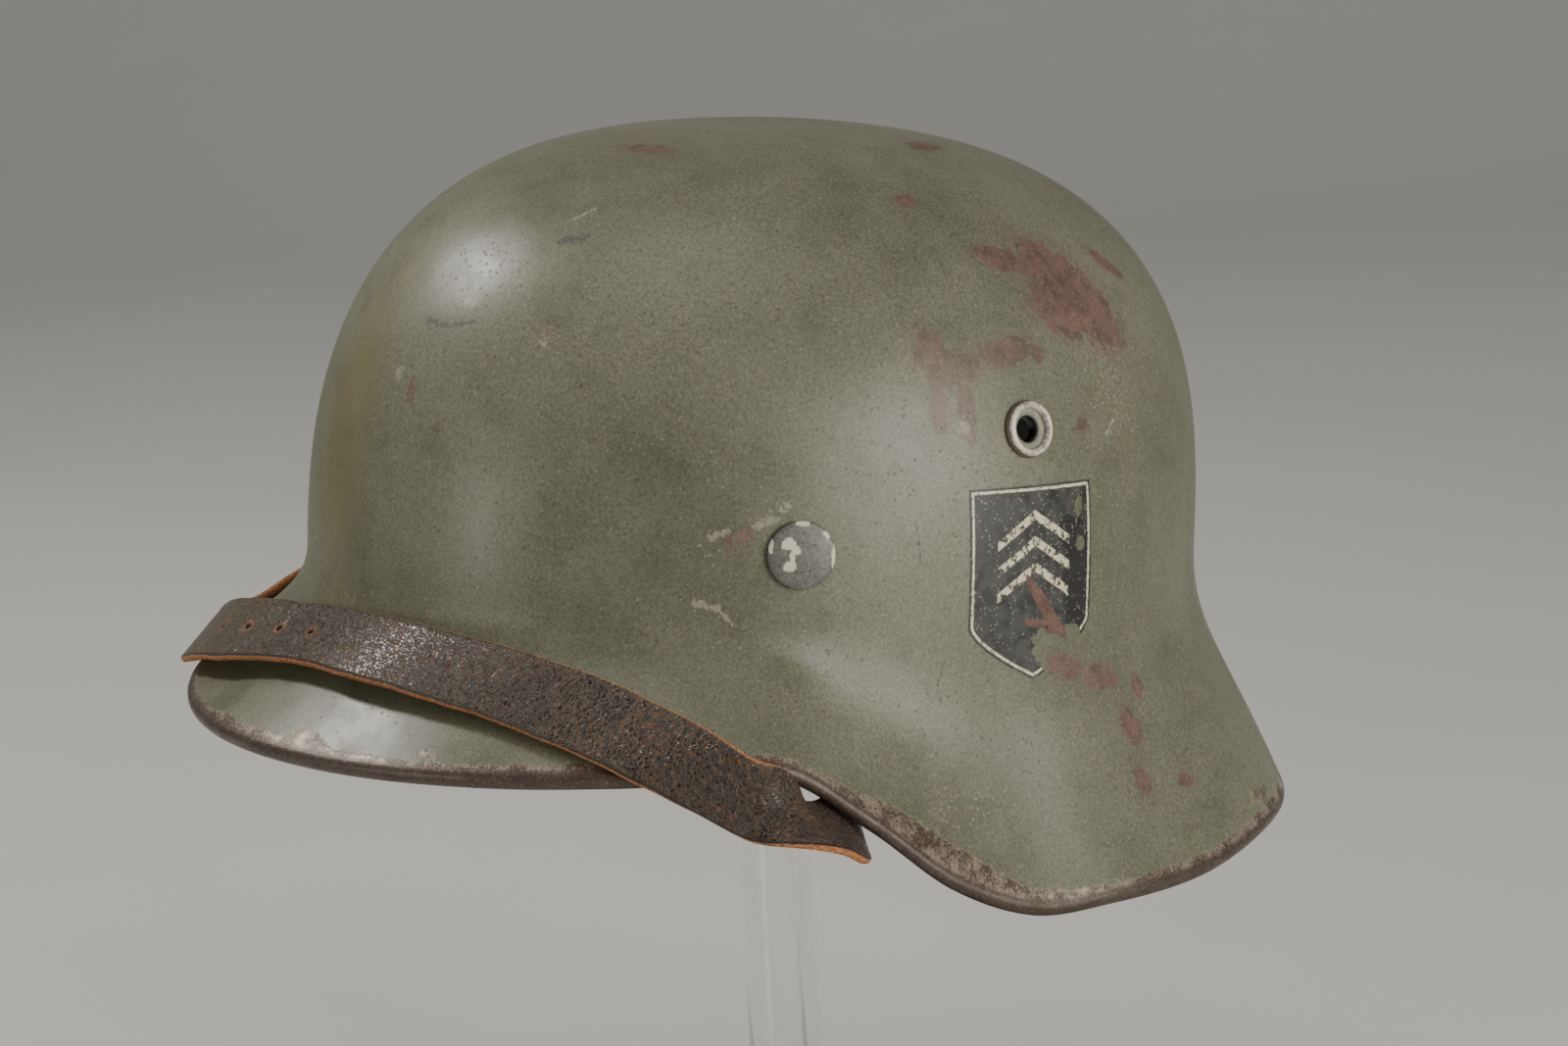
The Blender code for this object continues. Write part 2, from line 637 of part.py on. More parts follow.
def main():
    clear_scene()
    parts = new_collection("police_helmet")
    cutters = new_collection("cutters")

    painted = material("worn grey green paint", (0.16, 0.17, 0.125), 0.45, 0.1)
    bare = material("worn bare steel", (0.36, 0.34, 0.31), 0.38, 0.8)
    plain = material("plain zinc plate", (0.42, 0.42, 0.40), 0.45, 0.9)
    leather = material("cracked black leather", (0.06, 0.05, 0.045), 0.5)
    clear = material("clear acrylic", (0.85, 0.88, 0.88), 0.05)

    helmet = bpy.data.objects.new("helmet_frame", None)
    parts.objects.link(helmet)
    helmet.matrix_basis = (Matrix.Translation((0.0, -HELMET_SET_FORWARD, WAIST_ABOVE_GROUND))
                           @ Matrix.Rotation(math.radians(-HELMET_PITCH), 4, "X"))

    shell = build_shell(parts, helmet, painted)
    for side, sign in (("left", 1.0), ("right", -1.0)):
        build_vent(side, sign, shell, parts, cutters, helmet, bare)
        plate = HANGER_SET_IN + HANGER_THICKNESS
        hole = build_rivet(side, sign * SIDE_RIVET_STATION, SIDE_RIVET_HEIGHT, plate, shell,
                           parts, cutters, helmet, painted)
        build_hanger(side, sign, hole, parts, cutters, helmet, plain)
    build_rivet("rear", REAR_RIVET_STATION, REAR_RIVET_HEIGHT, 0.0, shell, parts, cutters,
                helmet, painted)
    build_strap(parts, cutters, helmet, leather)
    build_stand(parts, cutters, helmet, clear)
    bpy.context.view_layer.update()


main()
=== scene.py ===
import math

import bpy
import numpy as np
from mathutils import Matrix, Vector


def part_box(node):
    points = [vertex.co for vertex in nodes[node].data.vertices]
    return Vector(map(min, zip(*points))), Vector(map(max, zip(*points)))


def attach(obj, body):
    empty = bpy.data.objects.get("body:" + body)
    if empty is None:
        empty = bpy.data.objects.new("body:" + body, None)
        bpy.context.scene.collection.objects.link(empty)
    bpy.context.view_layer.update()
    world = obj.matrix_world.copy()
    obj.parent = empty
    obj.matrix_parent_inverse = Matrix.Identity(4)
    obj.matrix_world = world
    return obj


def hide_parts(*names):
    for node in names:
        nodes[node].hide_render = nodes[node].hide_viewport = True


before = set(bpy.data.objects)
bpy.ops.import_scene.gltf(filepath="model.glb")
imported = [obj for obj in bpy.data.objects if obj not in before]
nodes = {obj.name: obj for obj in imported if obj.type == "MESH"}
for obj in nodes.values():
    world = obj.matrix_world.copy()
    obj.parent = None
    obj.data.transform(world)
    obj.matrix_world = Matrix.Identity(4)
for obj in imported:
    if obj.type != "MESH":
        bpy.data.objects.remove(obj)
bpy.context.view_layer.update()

# The helmet's own frame: z = 0 is the waist, where the crown ends and the skirt begins.
helmetPlace = {
    "pitch": -4.45,                   # degrees about X, the visor tipped up
    "origin": (0.0, -0.00375, 0.190),
}


def helmetToWorld():
    # a turn about X, then a shift to the helmet's place on its stand
    turn = Matrix.Rotation(math.radians(helmetPlace["pitch"]), 4, "X")
    return Matrix.Translation(helmetPlace["origin"]) @ turn


def toWorld(points):
    # world = rotation x point + origin, for an array of points
    matrix = np.array(helmetToWorld())
    return points @ matrix[:3, :3].T + matrix[:3, 3]


# Meshes from arrays

def meshFrom(name, points, faces, smooth=True):
    # vertices and faces come as arrays; faces may be a list of arrays of triangles and quads
    mesh = bpy.data.meshes.new(name)
    groups = faces if isinstance(faces, list) else [faces]
    mesh.from_pydata(points.reshape(-1, 3).tolist(), [], [f for g in groups for f in g.tolist()])
    mesh.update()
    if smooth:
        mesh.shade_smooth()
    piece = bpy.data.objects.new(name, mesh)
    bpy.context.scene.collection.objects.link(piece)
    return piece


def gridFaces(rows, count, around=True):
    # quad (i, j), (i+1, j), (i+1, j+1), (i, j+1), where j wraps round a closed ring
    i = np.arange(rows - 1)[:, None] * count
    j = np.arange(count if around else count - 1)[None, :]
    k = (j + 1) % count
    return np.stack([i + j, i + count + j, i + count + k, i + k], axis=-1).reshape(-1, 4)


def addField(piece, name, values):
    # one number for each vertex
    made = piece.data.attributes.new(name, "FLOAT", "POINT")
    made.data.foreach_set("value", np.asarray(values, dtype=np.float32).ravel())


def addUv(piece, name, perVertex):
    # one pair of numbers for each vertex, copied to the corners of its faces
    layer = piece.data.uv_layers.new(name=name)
    corner = np.empty(len(piece.data.loops), dtype=np.int32)
    piece.data.loops.foreach_get("vertex_index", corner)
    layer.data.foreach_set("uv", perVertex.reshape(-1, 2)[corner].astype(np.float32).ravel())


def turnedPiece(name, profile, steps, matrix, closed=False):
    # point(i, t) = (r_i cos t, r_i sin t, z_i), put in place by the matrix
    profile = np.array(profile)
    angle = np.arange(steps) * 2 * math.pi / steps
    ring = np.stack([np.cos(angle), np.sin(angle)], axis=-1)
    flat = profile[:, 0, None, None] * ring[None]
    height = np.broadcast_to(profile[:, 1, None, None], flat.shape[:2] + (1,))
    local = np.concatenate([flat, height], axis=-1).reshape(-1, 3)
    rows = len(profile)
    faces = [gridFaces(rows, steps)]
    if closed:
        j = np.arange(steps)
        k = (j + 1) % steps
        last = (rows - 1) * steps
        faces.append(np.stack([last + j, j, k, last + k], axis=-1))
    else:
        ends = np.array([[0.0, 0.0, profile[0, 1]], [0.0, 0.0, profile[-1, 1]]])
        top = len(local)
        local = np.concatenate([local, ends])
        j = np.arange(steps)
        k = (j + 1) % steps
        last = (rows - 1) * steps
        faces.append(np.stack([0 * j + top, j, k], axis=-1))
        faces.append(np.stack([0 * j + top + 1, last + k, last + j], axis=-1))
    place = np.array(matrix)
    piece = meshFrom(name, local @ place[:3, :3].T + place[:3, 3], faces)
    piece.data.set_sharp_from_angle(angle=math.radians(38))
    addUv(piece, "faceWay", local[:, :2])
    return piece


def cutHoles(piece, cutters):
    # the live modifiers and the cuts are made final in one mesh
    for cutter in cutters:
        step = piece.modifiers.new(cutter.name, "BOOLEAN")
        step.operation = "DIFFERENCE"
        step.solver = "EXACT"
        step.object = cutter
    bpy.context.view_layer.update()
    ready = piece.evaluated_get(bpy.context.evaluated_depsgraph_get())
    mesh = bpy.data.meshes.new_from_object(ready)
    mesh.name = piece.data.name
    piece.modifiers.clear()
    piece.data = mesh
    for cutter in cutters:
        bpy.data.objects.remove(cutter)


def rowsOf(columns, rows):
    # each row of values as a dictionary under the column names
    return [dict(zip(columns.split(), row)) for row in rows]


# Shape of the shell

shellSizes = {
    "waistFront": 0.1126,
    "waistRear": 0.1160,
    "waistSide": 0.0973,
    "crownHeight": 0.1042,
    "wall": 0.0012,
    "skirtReach": 0.0310,
    "skirtDrop": 0.0702,
    "skirtStart": 0.35,
    "skirtEnd": 0.55,
    "rollRadius": 0.0024,
    "rollTurn": 195.0,
    "columns": 400,
    "crownRows": 78,
    "skirtRows": 30,
    "rollRows": 9,
}

crownSections = [
    {"at": "front", "plan": 2.87, "rise": 2.42},
    {"at": "side", "plan": 2.77, "rise": 2.43},
    {"at": "rear", "plan": 2.51, "rise": 3.00},
]

skirtSections = rowsOf("station reach drop slope", [
    (0, 1.000, 0.527, 41.0), (20, 0.973, 0.517, 41.0), (40, 0.932, 0.487, 42.0),
    (55, 0.822, 0.464, 45.0), (70, 0.706, 0.446, 50.0), (80, 0.632, 0.639, 55.0),
    (90, 0.601, 0.872, 59.0), (100, 0.614, 0.998, 62.0), (110, 0.686, 1.000, 64.0),
    (125, 0.759, 0.986, 65.0), (140, 0.834, 0.930, 65.0), (160, 0.859, 0.925, 64.5),
    (180, 0.884, 0.920, 64.0),
])


def columnOf(table, name, scale=1.0):
    return np.array([row[name] for row in table], dtype=float) * scale


def smoothThrough(knots, values, x):
    # cubic through the values at the knots, its slopes taken from each knot's neighbours
    values = np.asarray(values, dtype=float)
    slopes = np.empty_like(values)
    span = (knots[2:] - knots[:-2]).reshape((-1,) + (1,) * (values.ndim - 1))
    slopes[1:-1] = (values[2:] - values[:-2]) / span
    slopes[0] = (values[1] - values[0]) / (knots[1] - knots[0])
    slopes[-1] = (values[-1] - values[-2]) / (knots[-1] - knots[-2])
    i = np.clip(np.searchsorted(knots, x, side="right") - 1, 0, len(knots) - 2)
    width = knots[i + 1] - knots[i]
    u = (x - knots[i]) / width
    if values.ndim > 1:
        u = u[:, None]
        width = width[:, None]
    return ((2 * u**3 - 3 * u**2 + 1) * values[i] + (u**3 - 2 * u**2 + u) * width * slopes[i]
            + (3 * u**2 - 2 * u**3) * values[i + 1] + (u**3 - u**2) * width * slopes[i + 1])


def skirtAt(name, station, scale=1.0):
    # a column of the skirt table at any station, the two sides alike
    knots = columnOf(skirtSections, "station")
    values = columnOf(skirtSections, name, scale)
    knots = np.concatenate([-knots[2:0:-1], knots, 360.0 - knots[-2:-4:-1]])
    values = np.concatenate([values[2:0:-1], values, values[-2:-4:-1]])
    folded = np.abs((np.asarray(station, dtype=float) + 180.0) % 360.0 - 180.0)
    return smoothThrough(knots, values, folded)


def waistAt(station):
    # ellipse halves: x = side sin t, y = -half cos t, and the outward normal of the ellipse
    angle = np.radians(station)
    half = np.where(np.cos(angle) > 0.0, shellSizes["waistFront"], shellSizes["waistRear"])
    side = shellSizes["waistSide"]
    point = np.stack([side * np.sin(angle), -half * np.cos(angle)], axis=-1)
    outward = np.stack([np.sin(angle) / side, -np.cos(angle) / half], axis=-1)
    return point, outward / np.linalg.norm(outward, axis=-1, keepdims=True)


def crownPowers(station):
    # front, side and rear exponents mixed by cosine and squared sine of the station
    front, side, rear = crownSections
    angle = np.radians(station)
    toFront = 0.5 + 0.5 * np.cos(angle)
    toSide = np.sin(angle) ** 2
    return [(front[k] * toFront + rear[k] * (1 - toFront)) * (1 - toSide) + side[k] * toSide
            for k in ("plan", "rise")]


def crownAt(station, lift):
    # superellipse: waist x cos(lift)^(2/plan), height x sin(lift)^(2/rise)
    plan, rise = crownPowers(station)
    point, _ = waistAt(station)
    angle = np.radians(lift)
    share = np.cos(angle) ** (2 / plan)
    height = shellSizes["crownHeight"] * np.sin(angle) ** (2 / rise)
    return np.stack([point[..., 0] * share, point[..., 1] * share, height + 0 * share], axis=-1)


def skirtEnds(station):
    # the skirt's slope, its straight direction, and where the roll begins, as (out, up)
    slope = np.radians(skirtAt("slope", station))
    roll = shellSizes["rollRadius"]
    reach = skirtAt("reach", station, shellSizes["skirtReach"]) - roll * np.cos(slope)
    drop = skirtAt("drop", station, shellSizes["skirtDrop"]) - roll * np.sin(slope)
    along = np.stack([np.cos(slope), -np.sin(slope)])
    face = np.stack([np.sin(slope), np.cos(slope)])
    return np.stack([reach, -drop]), along, face


def skirtCurve(station, s):
    # cubic Bezier from the waist, upright at first and straight into the rim
    end, along, _ = skirtEnds(station)
    length = np.hypot(end[0], end[1])
    upright = np.stack([0 * end[0], shellSizes["skirtStart"] * end[1]])
    beforeEnd = end - shellSizes["skirtEnd"] * length * along
    return (3 * upright * (1 - s) ** 2 * s + 3 * beforeEnd * (1 - s) * s**2 + end * s**3)


def standOff(station, outUp):
    # (out, up) from the waist oval to a point
    point, outward = waistAt(station)
    flat = point + outward * outUp[0][..., None]
    return np.concatenate([flat, outUp[1][..., None]], axis=-1)


def surfaceAt(station, rise):
    # the outer face at a height: on the crown by its formula, on the skirt by halving
    station = np.asarray(station, dtype=float)
    rise = np.asarray(rise, dtype=float) + 0 * station
    _, power = crownPowers(station)
    share = np.clip(rise / shellSizes["crownHeight"], 0.0, 1.0)
    lift = np.degrees(np.arcsin(share ** (power / 2)))
    crown = crownAt(station, lift)
    low = np.zeros_like(station)
    high = np.ones_like(station)
    for _ in range(24):
        middle = (low + high) / 2
        above = skirtCurve(station, middle)[1] > rise
        low = np.where(above, middle, low)
        high = np.where(above, high, middle)
    skirt = standOff(station, skirtCurve(station, (low + high) / 2))
    return np.where((rise > 0.0)[..., None], crown, skirt)


def fittingFrame(station, height):
    # frame on the crown's outer face: +Z points out, +X runs level to the rear
    rise = crownPowers(station)[1]
    lift = math.degrees(math.asin((height / shellSizes["crownHeight"]) ** (rise / 2)))
    step = 0.01
    across = crownAt(station + step, lift) - crownAt(station - step, lift)
    upward = crownAt(station, lift + step) - crownAt(station, lift - step)
    out = Vector(np.cross(across, upward)).normalized()
    level = Vector(across).normalized()
    turn = Matrix((level, out.cross(level), out)).transposed().to_4x4()
    return helmetToWorld() @ Matrix.Translation(Vector(crownAt(station, lift))) @ turn


# Wear on the shell, by station in degrees and rise in mm, sizes in mm

shellWear = {
    # width of the bare band above the rim, in mm
    "rimBand": rowsOf("station width", [
        (-180, 2.6), (-130, 2.4), (-96, 3.0), (-86, 6.0), (-76, 2.6), (-40, 2.0), (-10, 1.6),
        (8, 2.2), (18, 2.6), (30, 1.6), (45, 2.2), (58, 3.0), (66, 2.6), (72, 2.0), (78, 3.6),
        (84, 7.5), (88, 9.0), (94, 7.0), (98, 4.2), (110, 2.2), (130, 2.6), (150, 3.2),
        (180, 2.6),
    ]),
    "barePatches": rowsOf("station rise along up tilt", [
        (2.0, -34.0, 4.5, 1.6, 0), (16.5, -32.3, 5.5, 2.4, 0), (33.0, -31.0, 2.6, 1.4, 0),
        (140.0, -58.0, 8.0, 2.0, 0), (-60.0, -29.0, 6.0, 1.8, 0),
    ]),
    "rustPatches": rowsOf("station rise along up tilt", [
        (120.8, 69.5, 17.5, 8.5, -53), (116.0, 66.5, 9.0, 6.5, -30),
        (118.0, 79.5, 5.0, 3.0, -35), (109.3, 78.5, 7.0, 3.2, -22),
        (134.8, 74.0, 6.0, 2.0, -45), (109.8, -16.5, 5.5, 2.6, -24),
        (115.6, -21.0, 5.8, 3.0, -14), (122.5, -25.3, 2.2, 2.8, 0),
        (119.5, -33.8, 3.2, 4.6, 10), (118.5, -45.8, 2.4, 3.6, 20), (126.0, -48.0, 3.4, 2.0, 0),
        (133.0, 100.8, 6.0, 3.0, 0), (29.5, 101.0, 6.0, 3.0, 0), (98.2, 91.7, 2.6, 2.2, 0),
        (114.0, 40.0, 2.0, 1.8, 0), (-128.0, 60.0, 9.0, 6.0, 35), (-75.0, 44.0, 5.0, 3.0, 0),
        (-104.0, -30.0, 5.0, 4.0, 0), (172.0, 30.0, 6.0, 4.0, 20),
    ]),
    # thin rust with drips
    "faintRust": rowsOf("station rise along up tilt", [
        (92.0, 59.5, 4.2, 6.0, 12), (95.0, 55.5, 7.0, 3.6, 8), (103.5, 58.8, 8.0, 3.4, 6),
        (108.6, 57.4, 2.0, 2.0, 0), (91.8, 47.5, 2.0, 6.5, 0), (95.8, 47.0, 2.2, 8.0, 0),
    ]),
    # where the paint is scuffed into pale and dark flecks
    "scuffs": rowsOf("station rise along up tilt", [
        (67.0, 21.0, 13.0, 4.5, 22), (63.5, 1.0, 8.0, 3.0, -20), (121.0, 45.0, 12.0, 16.0, 0),
        (24.0, 72.0, 16.0, 10.0, 25), (96.0, 44.0, 6.0, 5.0, 0), (92.0, -46.0, 14.0, 7.0, -40),
        (150.0, 88.0, 24.0, 14.0, 0), (-40.0, 78.0, 22.0, 14.0, 0),
        (-90.0, 20.0, 20.0, 10.0, 0),
    ]),
    # a warm stain down the front
    "stains": [
        {"station": 2.0, "rise": 34.0, "along": 17.0, "up": 52.0, "tilt": 0},
    ],
}


def patchField(points, patches):
    # for each patch 1 - distance / size in its own tilted plane, and the largest of them all
    field = np.full(len(points), -1.0)
    for patch in patches:
        station = np.array([patch["station"]])
        rise = np.array([patch["rise"]]) / 1000
        centre = surfaceAt(station, rise)[0]
        level = surfaceAt(station + 0.5, rise)[0] - surfaceAt(station - 0.5, rise)[0]
        upward = surfaceAt(station, rise + 0.0005)[0] - surfaceAt(station, rise - 0.0005)[0]
        level = level / np.linalg.norm(level)
        upward = upward - level * (upward @ level)
        upward = upward / np.linalg.norm(upward)
        away = points - centre
        tilt = math.radians(patch["tilt"])
        x = away @ level
        y = away @ upward
        a = (x * math.cos(tilt) + y * math.sin(tilt)) / (patch["along"] / 1000)
        b = (y * math.cos(tilt) - x * math.sin(tilt)) / (patch["up"] / 1000)
        c = away @ np.cross(level, upward) / (4 * max(patch["along"], patch["up"]) / 1000)
        field = np.maximum(field, 1.0 - np.sqrt(a**2 + b**2 + c**2))
    return np.clip(field, -1.0, 1.0)


def makeShell():
    # rings of the crown, the skirt and the roll; columns stand closer on the wearer's left
    sizes = shellSizes
    share = np.arange(sizes["columns"]) / sizes["columns"]
    angle = 2 * math.pi * share
    station = np.degrees(angle + 0.42 * (np.cos(angle) - 1.0)) % 360.0
    rings = []
    for i in range(1, sizes["crownRows"] + 1):
        rings.append(crownAt(station, 90.0 * (1 - i / sizes["crownRows"])))
    for s in np.linspace(0, 1, sizes["skirtRows"] + 1)[1:]:
        rings.append(standOff(station, skirtCurve(station, s)))
    end, along, face = skirtEnds(station)
    roll = sizes["rollRadius"]
    middle = end - roll * face
    turns = np.radians(np.linspace(0, sizes["rollTurn"], sizes["rollRows"] + 1)[1:])
    for turn in turns:
        rings.append(standOff(station, middle + roll * (face * math.cos(turn)
                                                        + along * math.sin(turn))))
    rings = np.array(rings)
    steps = np.linalg.norm(np.diff(rings, axis=0), axis=-1)
    fromTop = np.concatenate([np.zeros((1, len(station))), np.cumsum(steps, axis=0)])
    rimRow = sizes["crownRows"] + sizes["skirtRows"] - 1
    aboveRim = (fromTop[rimRow] - fromTop) * 1000
    band = columnOf(shellWear["rimBand"], "width")
    bandKnots = columnOf(shellWear["rimBand"], "station")
    signed = (station + 180.0) % 360.0 - 180.0
    bandWidth = smoothThrough(bandKnots, band, signed)
    edge = np.clip((bandWidth[None, :] - aboveRim) / 3.0, -1.0, 1.0)

    points = np.concatenate([[[0.0, 0.0, sizes["crownHeight"]]], rings.reshape(-1, 3)])
    count = sizes["columns"]
    j = np.arange(count)
    fan = np.stack([0 * j, 1 + j, 1 + (j + 1) % count], axis=-1)
    shell = meshFrom("helmetShell", toWorld(points), [fan, gridFaces(len(rings), count) + 1])
    bare = patchField(points, shellWear["barePatches"])
    addField(shell, "edge", np.maximum(np.concatenate([[-1.0], edge.ravel()]), bare))
    rimWay = np.clip(aboveRim / 10.0, -1.0, 1.0)
    addField(shell, "rim", np.concatenate([[1.0], rimWay.ravel()]))
    addField(shell, "rust", patchField(points, shellWear["rustPatches"]))
    addField(shell, "faint", patchField(points, shellWear["faintRust"]))
    addField(shell, "scuff", patchField(points, shellWear["scuffs"]))
    addField(shell, "stain", patchField(points, shellWear["stains"]))
    wall = shell.modifiers.new("wall", "SOLIDIFY")
    wall.thickness = sizes["wall"]
    wall.offset = -1.0
    wall.use_even_offset = True
    return shell


# Fittings

ventSizes = {
    "station": 104.5,
    "height": 0.0409,
    "ringRadius": 0.0068,
    "ringRise": 0.0019,
    "boreRadius": 0.0027,
    "mouthRadius": 0.0046,
    "sleeveRadius": 0.0047,
    "flangeRadius": 0.0058,
    "flangeThickness": 0.0008,
    "gap": 0.0003,
    "steps": 72,
}


def makeVent(side, sign):
    # ring: half circle over the sheet; funnel: ellipse quarter from the mouth to the bore
    sizes = ventSizes
    matrix = fittingFrame(sign * sizes["station"], sizes["height"])
    gap = sizes["gap"]
    seat = -shellSizes["wall"] - 2 * gap
    middle = (sizes["ringRadius"] + sizes["mouthRadius"]) / 2
    half = (sizes["ringRadius"] - sizes["mouthRadius"]) / 2
    profile = [(sizes["boreRadius"], seat - sizes["flangeThickness"]),
               (sizes["boreRadius"], -0.0012)]
    for t in np.linspace(0, math.pi / 2, 9):
        wide = sizes["mouthRadius"] - sizes["boreRadius"] - 0.0002
        profile.append((sizes["boreRadius"] + wide * (1 - math.cos(t)),
                        -0.0011 + (0.0012 + gap) * math.sin(t)))
    for t in np.linspace(math.pi * 0.97, 0, 13):
        profile.append((middle + half * math.cos(t), gap + sizes["ringRise"] * math.sin(t)))
    profile += [(sizes["sleeveRadius"], gap), (sizes["sleeveRadius"], seat),
                (sizes["flangeRadius"], seat),
                (sizes["flangeRadius"], seat - sizes["flangeThickness"])]
    vent = turnedPiece(f"ventBushing_{side}", profile[::-1], sizes["steps"], matrix, closed=True)
    hole = turnedPiece(f"ventHole_{side}", [(sizes["sleeveRadius"] + gap, 0.01),
                                            (sizes["sleeveRadius"] + gap, -0.01)], 40, matrix)
    return vent, hole


rivetSizes = {
    "headRadius": 0.0080,
    "headEdge": 0.0010,
    "headRise": 0.0017,
    "shankRadius": 0.0022,
    "tailRadius": 0.0042,
    "tailThickness": 0.0010,
    "gap": 0.0003,
    "steps": 96,
    "places": [
        {"side": "left", "station": 73.5, "height": 0.0151, "behind": 0.0027},
        {"side": "right", "station": -73.5, "height": 0.0151, "behind": 0.0027},
        {"side": "rear", "station": 180.0, "height": 0.0190, "behind": 0.0},
    ],
    # cream primer left on the head, in shares of its radius
    "flakes": rowsOf("x y wide tall", [
        (-0.40, 0.33, 0.20, 0.17), (-0.17, 0.18, 0.13, 0.15), (-0.30, -0.05, 0.09, 0.16),
        (-0.36, -0.30, 0.18, 0.16), (0.96, -0.02, 0.10, 0.34), (0.76, 0.62, 0.14, 0.12),
        (-0.02, 0.95, 0.22, 0.10), (-0.92, 0.32, 0.07, 0.30),
    ]),
}


def makeRivet(place):
    # head: height = rise - (rise - edge) r^2, its edge rounded by a quarter circle
    sizes = rivetSizes
    matrix = fittingFrame(place["station"], place["height"])
    gap = sizes["gap"]
    radius = sizes["headRadius"]
    fall = sizes["headRise"] - sizes["headEdge"]
    profile = [(radius * s, gap + sizes["headRise"] - fall * s**2)
               for s in np.linspace(0.03, 0.92, 22)]
    corner = 0.0005
    for t in np.linspace(math.pi / 2, 0, 6):
        profile.append((radius - corner + corner * math.cos(t),
                        gap + sizes["headEdge"] - corner + corner * math.sin(t)))
    tail = -shellSizes["wall"] - place["behind"] - 2 * gap
    profile += [(radius, gap), (sizes["shankRadius"], gap), (sizes["shankRadius"], tail),
                (sizes["tailRadius"], tail),
                (sizes["tailRadius"], tail - sizes["tailThickness"] * 0.6),
                (sizes["tailRadius"] * 0.7, tail - sizes["tailThickness"])]
    rivet = turnedPiece(f"rivetHead_{place['side']}", profile, sizes["steps"], matrix)
    co = np.empty(len(rivet.data.vertices) * 3)
    rivet.data.vertices.foreach_get("co", co)
    inverse = np.array(matrix.inverted())
    local = (co.reshape(-1, 3) @ inverse[:3, :3].T + inverse[:3, 3]) / radius
    field = np.full(len(local), -1.0)
    for flake in sizes["flakes"]:
        away = np.hypot((local[:, 0] - flake["x"]) / flake["wide"],
                        (local[:, 1] - flake["y"]) / flake["tall"])
        field = np.maximum(field, 1.0 - away)
    field = np.where(local[:, 2] * radius < 0.0002, -1.0, field)
    addField(rivet, "flake", np.clip(field, -1.0, 1.0))
    return rivet


# Shield decal: a thin film of paint laid on the shell

shieldSizes = {
    "station": 104.7,
    "top": 0.0278,
    "topFall": 0.0008,       # how much lower the top's rear corner lies
    "halfWidth": 0.01875,
    "height": 0.0465,
    "straight": 0.0330,      # length of the straight sides
    "bottomPower": 1.5,
    "perDegree": 0.00197,    # metres of shell for each degree of station
    "proud": 0.00007,
    "columns": 72,
    "rows": 92,
}

shieldWear = [
    # lost: the film is gone; x and y in mm from the middle of its top edge
    {"kind": "lost", "x": 9.5, "y": 43.0, "wide": 12.0, "tall": 5.0, "tilt": 35},
    {"kind": "lost", "x": 14.4, "y": 6.0, "wide": 1.4, "tall": 2.6, "tilt": 10},
    {"kind": "lost", "x": 15.0, "y": 15.0, "wide": 1.6, "tall": 2.0, "tilt": 0},
    {"kind": "lost", "x": -14.0, "y": 41.0, "wide": 3.2, "tall": 1.2, "tilt": 40},
    {"kind": "lost", "x": 13.0, "y": 36.5, "wide": 3.0, "tall": 2.2, "tilt": 30},
    {"kind": "rusty", "x": 4.0, "y": 30.0, "wide": 10.5, "tall": 1.7, "tilt": 52},
    {"kind": "rusty", "x": 1.0, "y": 33.0, "wide": 4.0, "tall": 1.0, "tilt": 10},
    {"kind": "rusty", "x": 7.5, "y": 37.0, "wide": 4.0, "tall": 3.4, "tilt": 40},
    {"kind": "black", "x": 14.0, "y": 24.0, "wide": 5.0, "tall": 15.0, "tilt": 0},
    {"kind": "black", "x": 11.0, "y": 12.0, "wide": 4.0, "tall": 4.0, "tilt": 30},
]


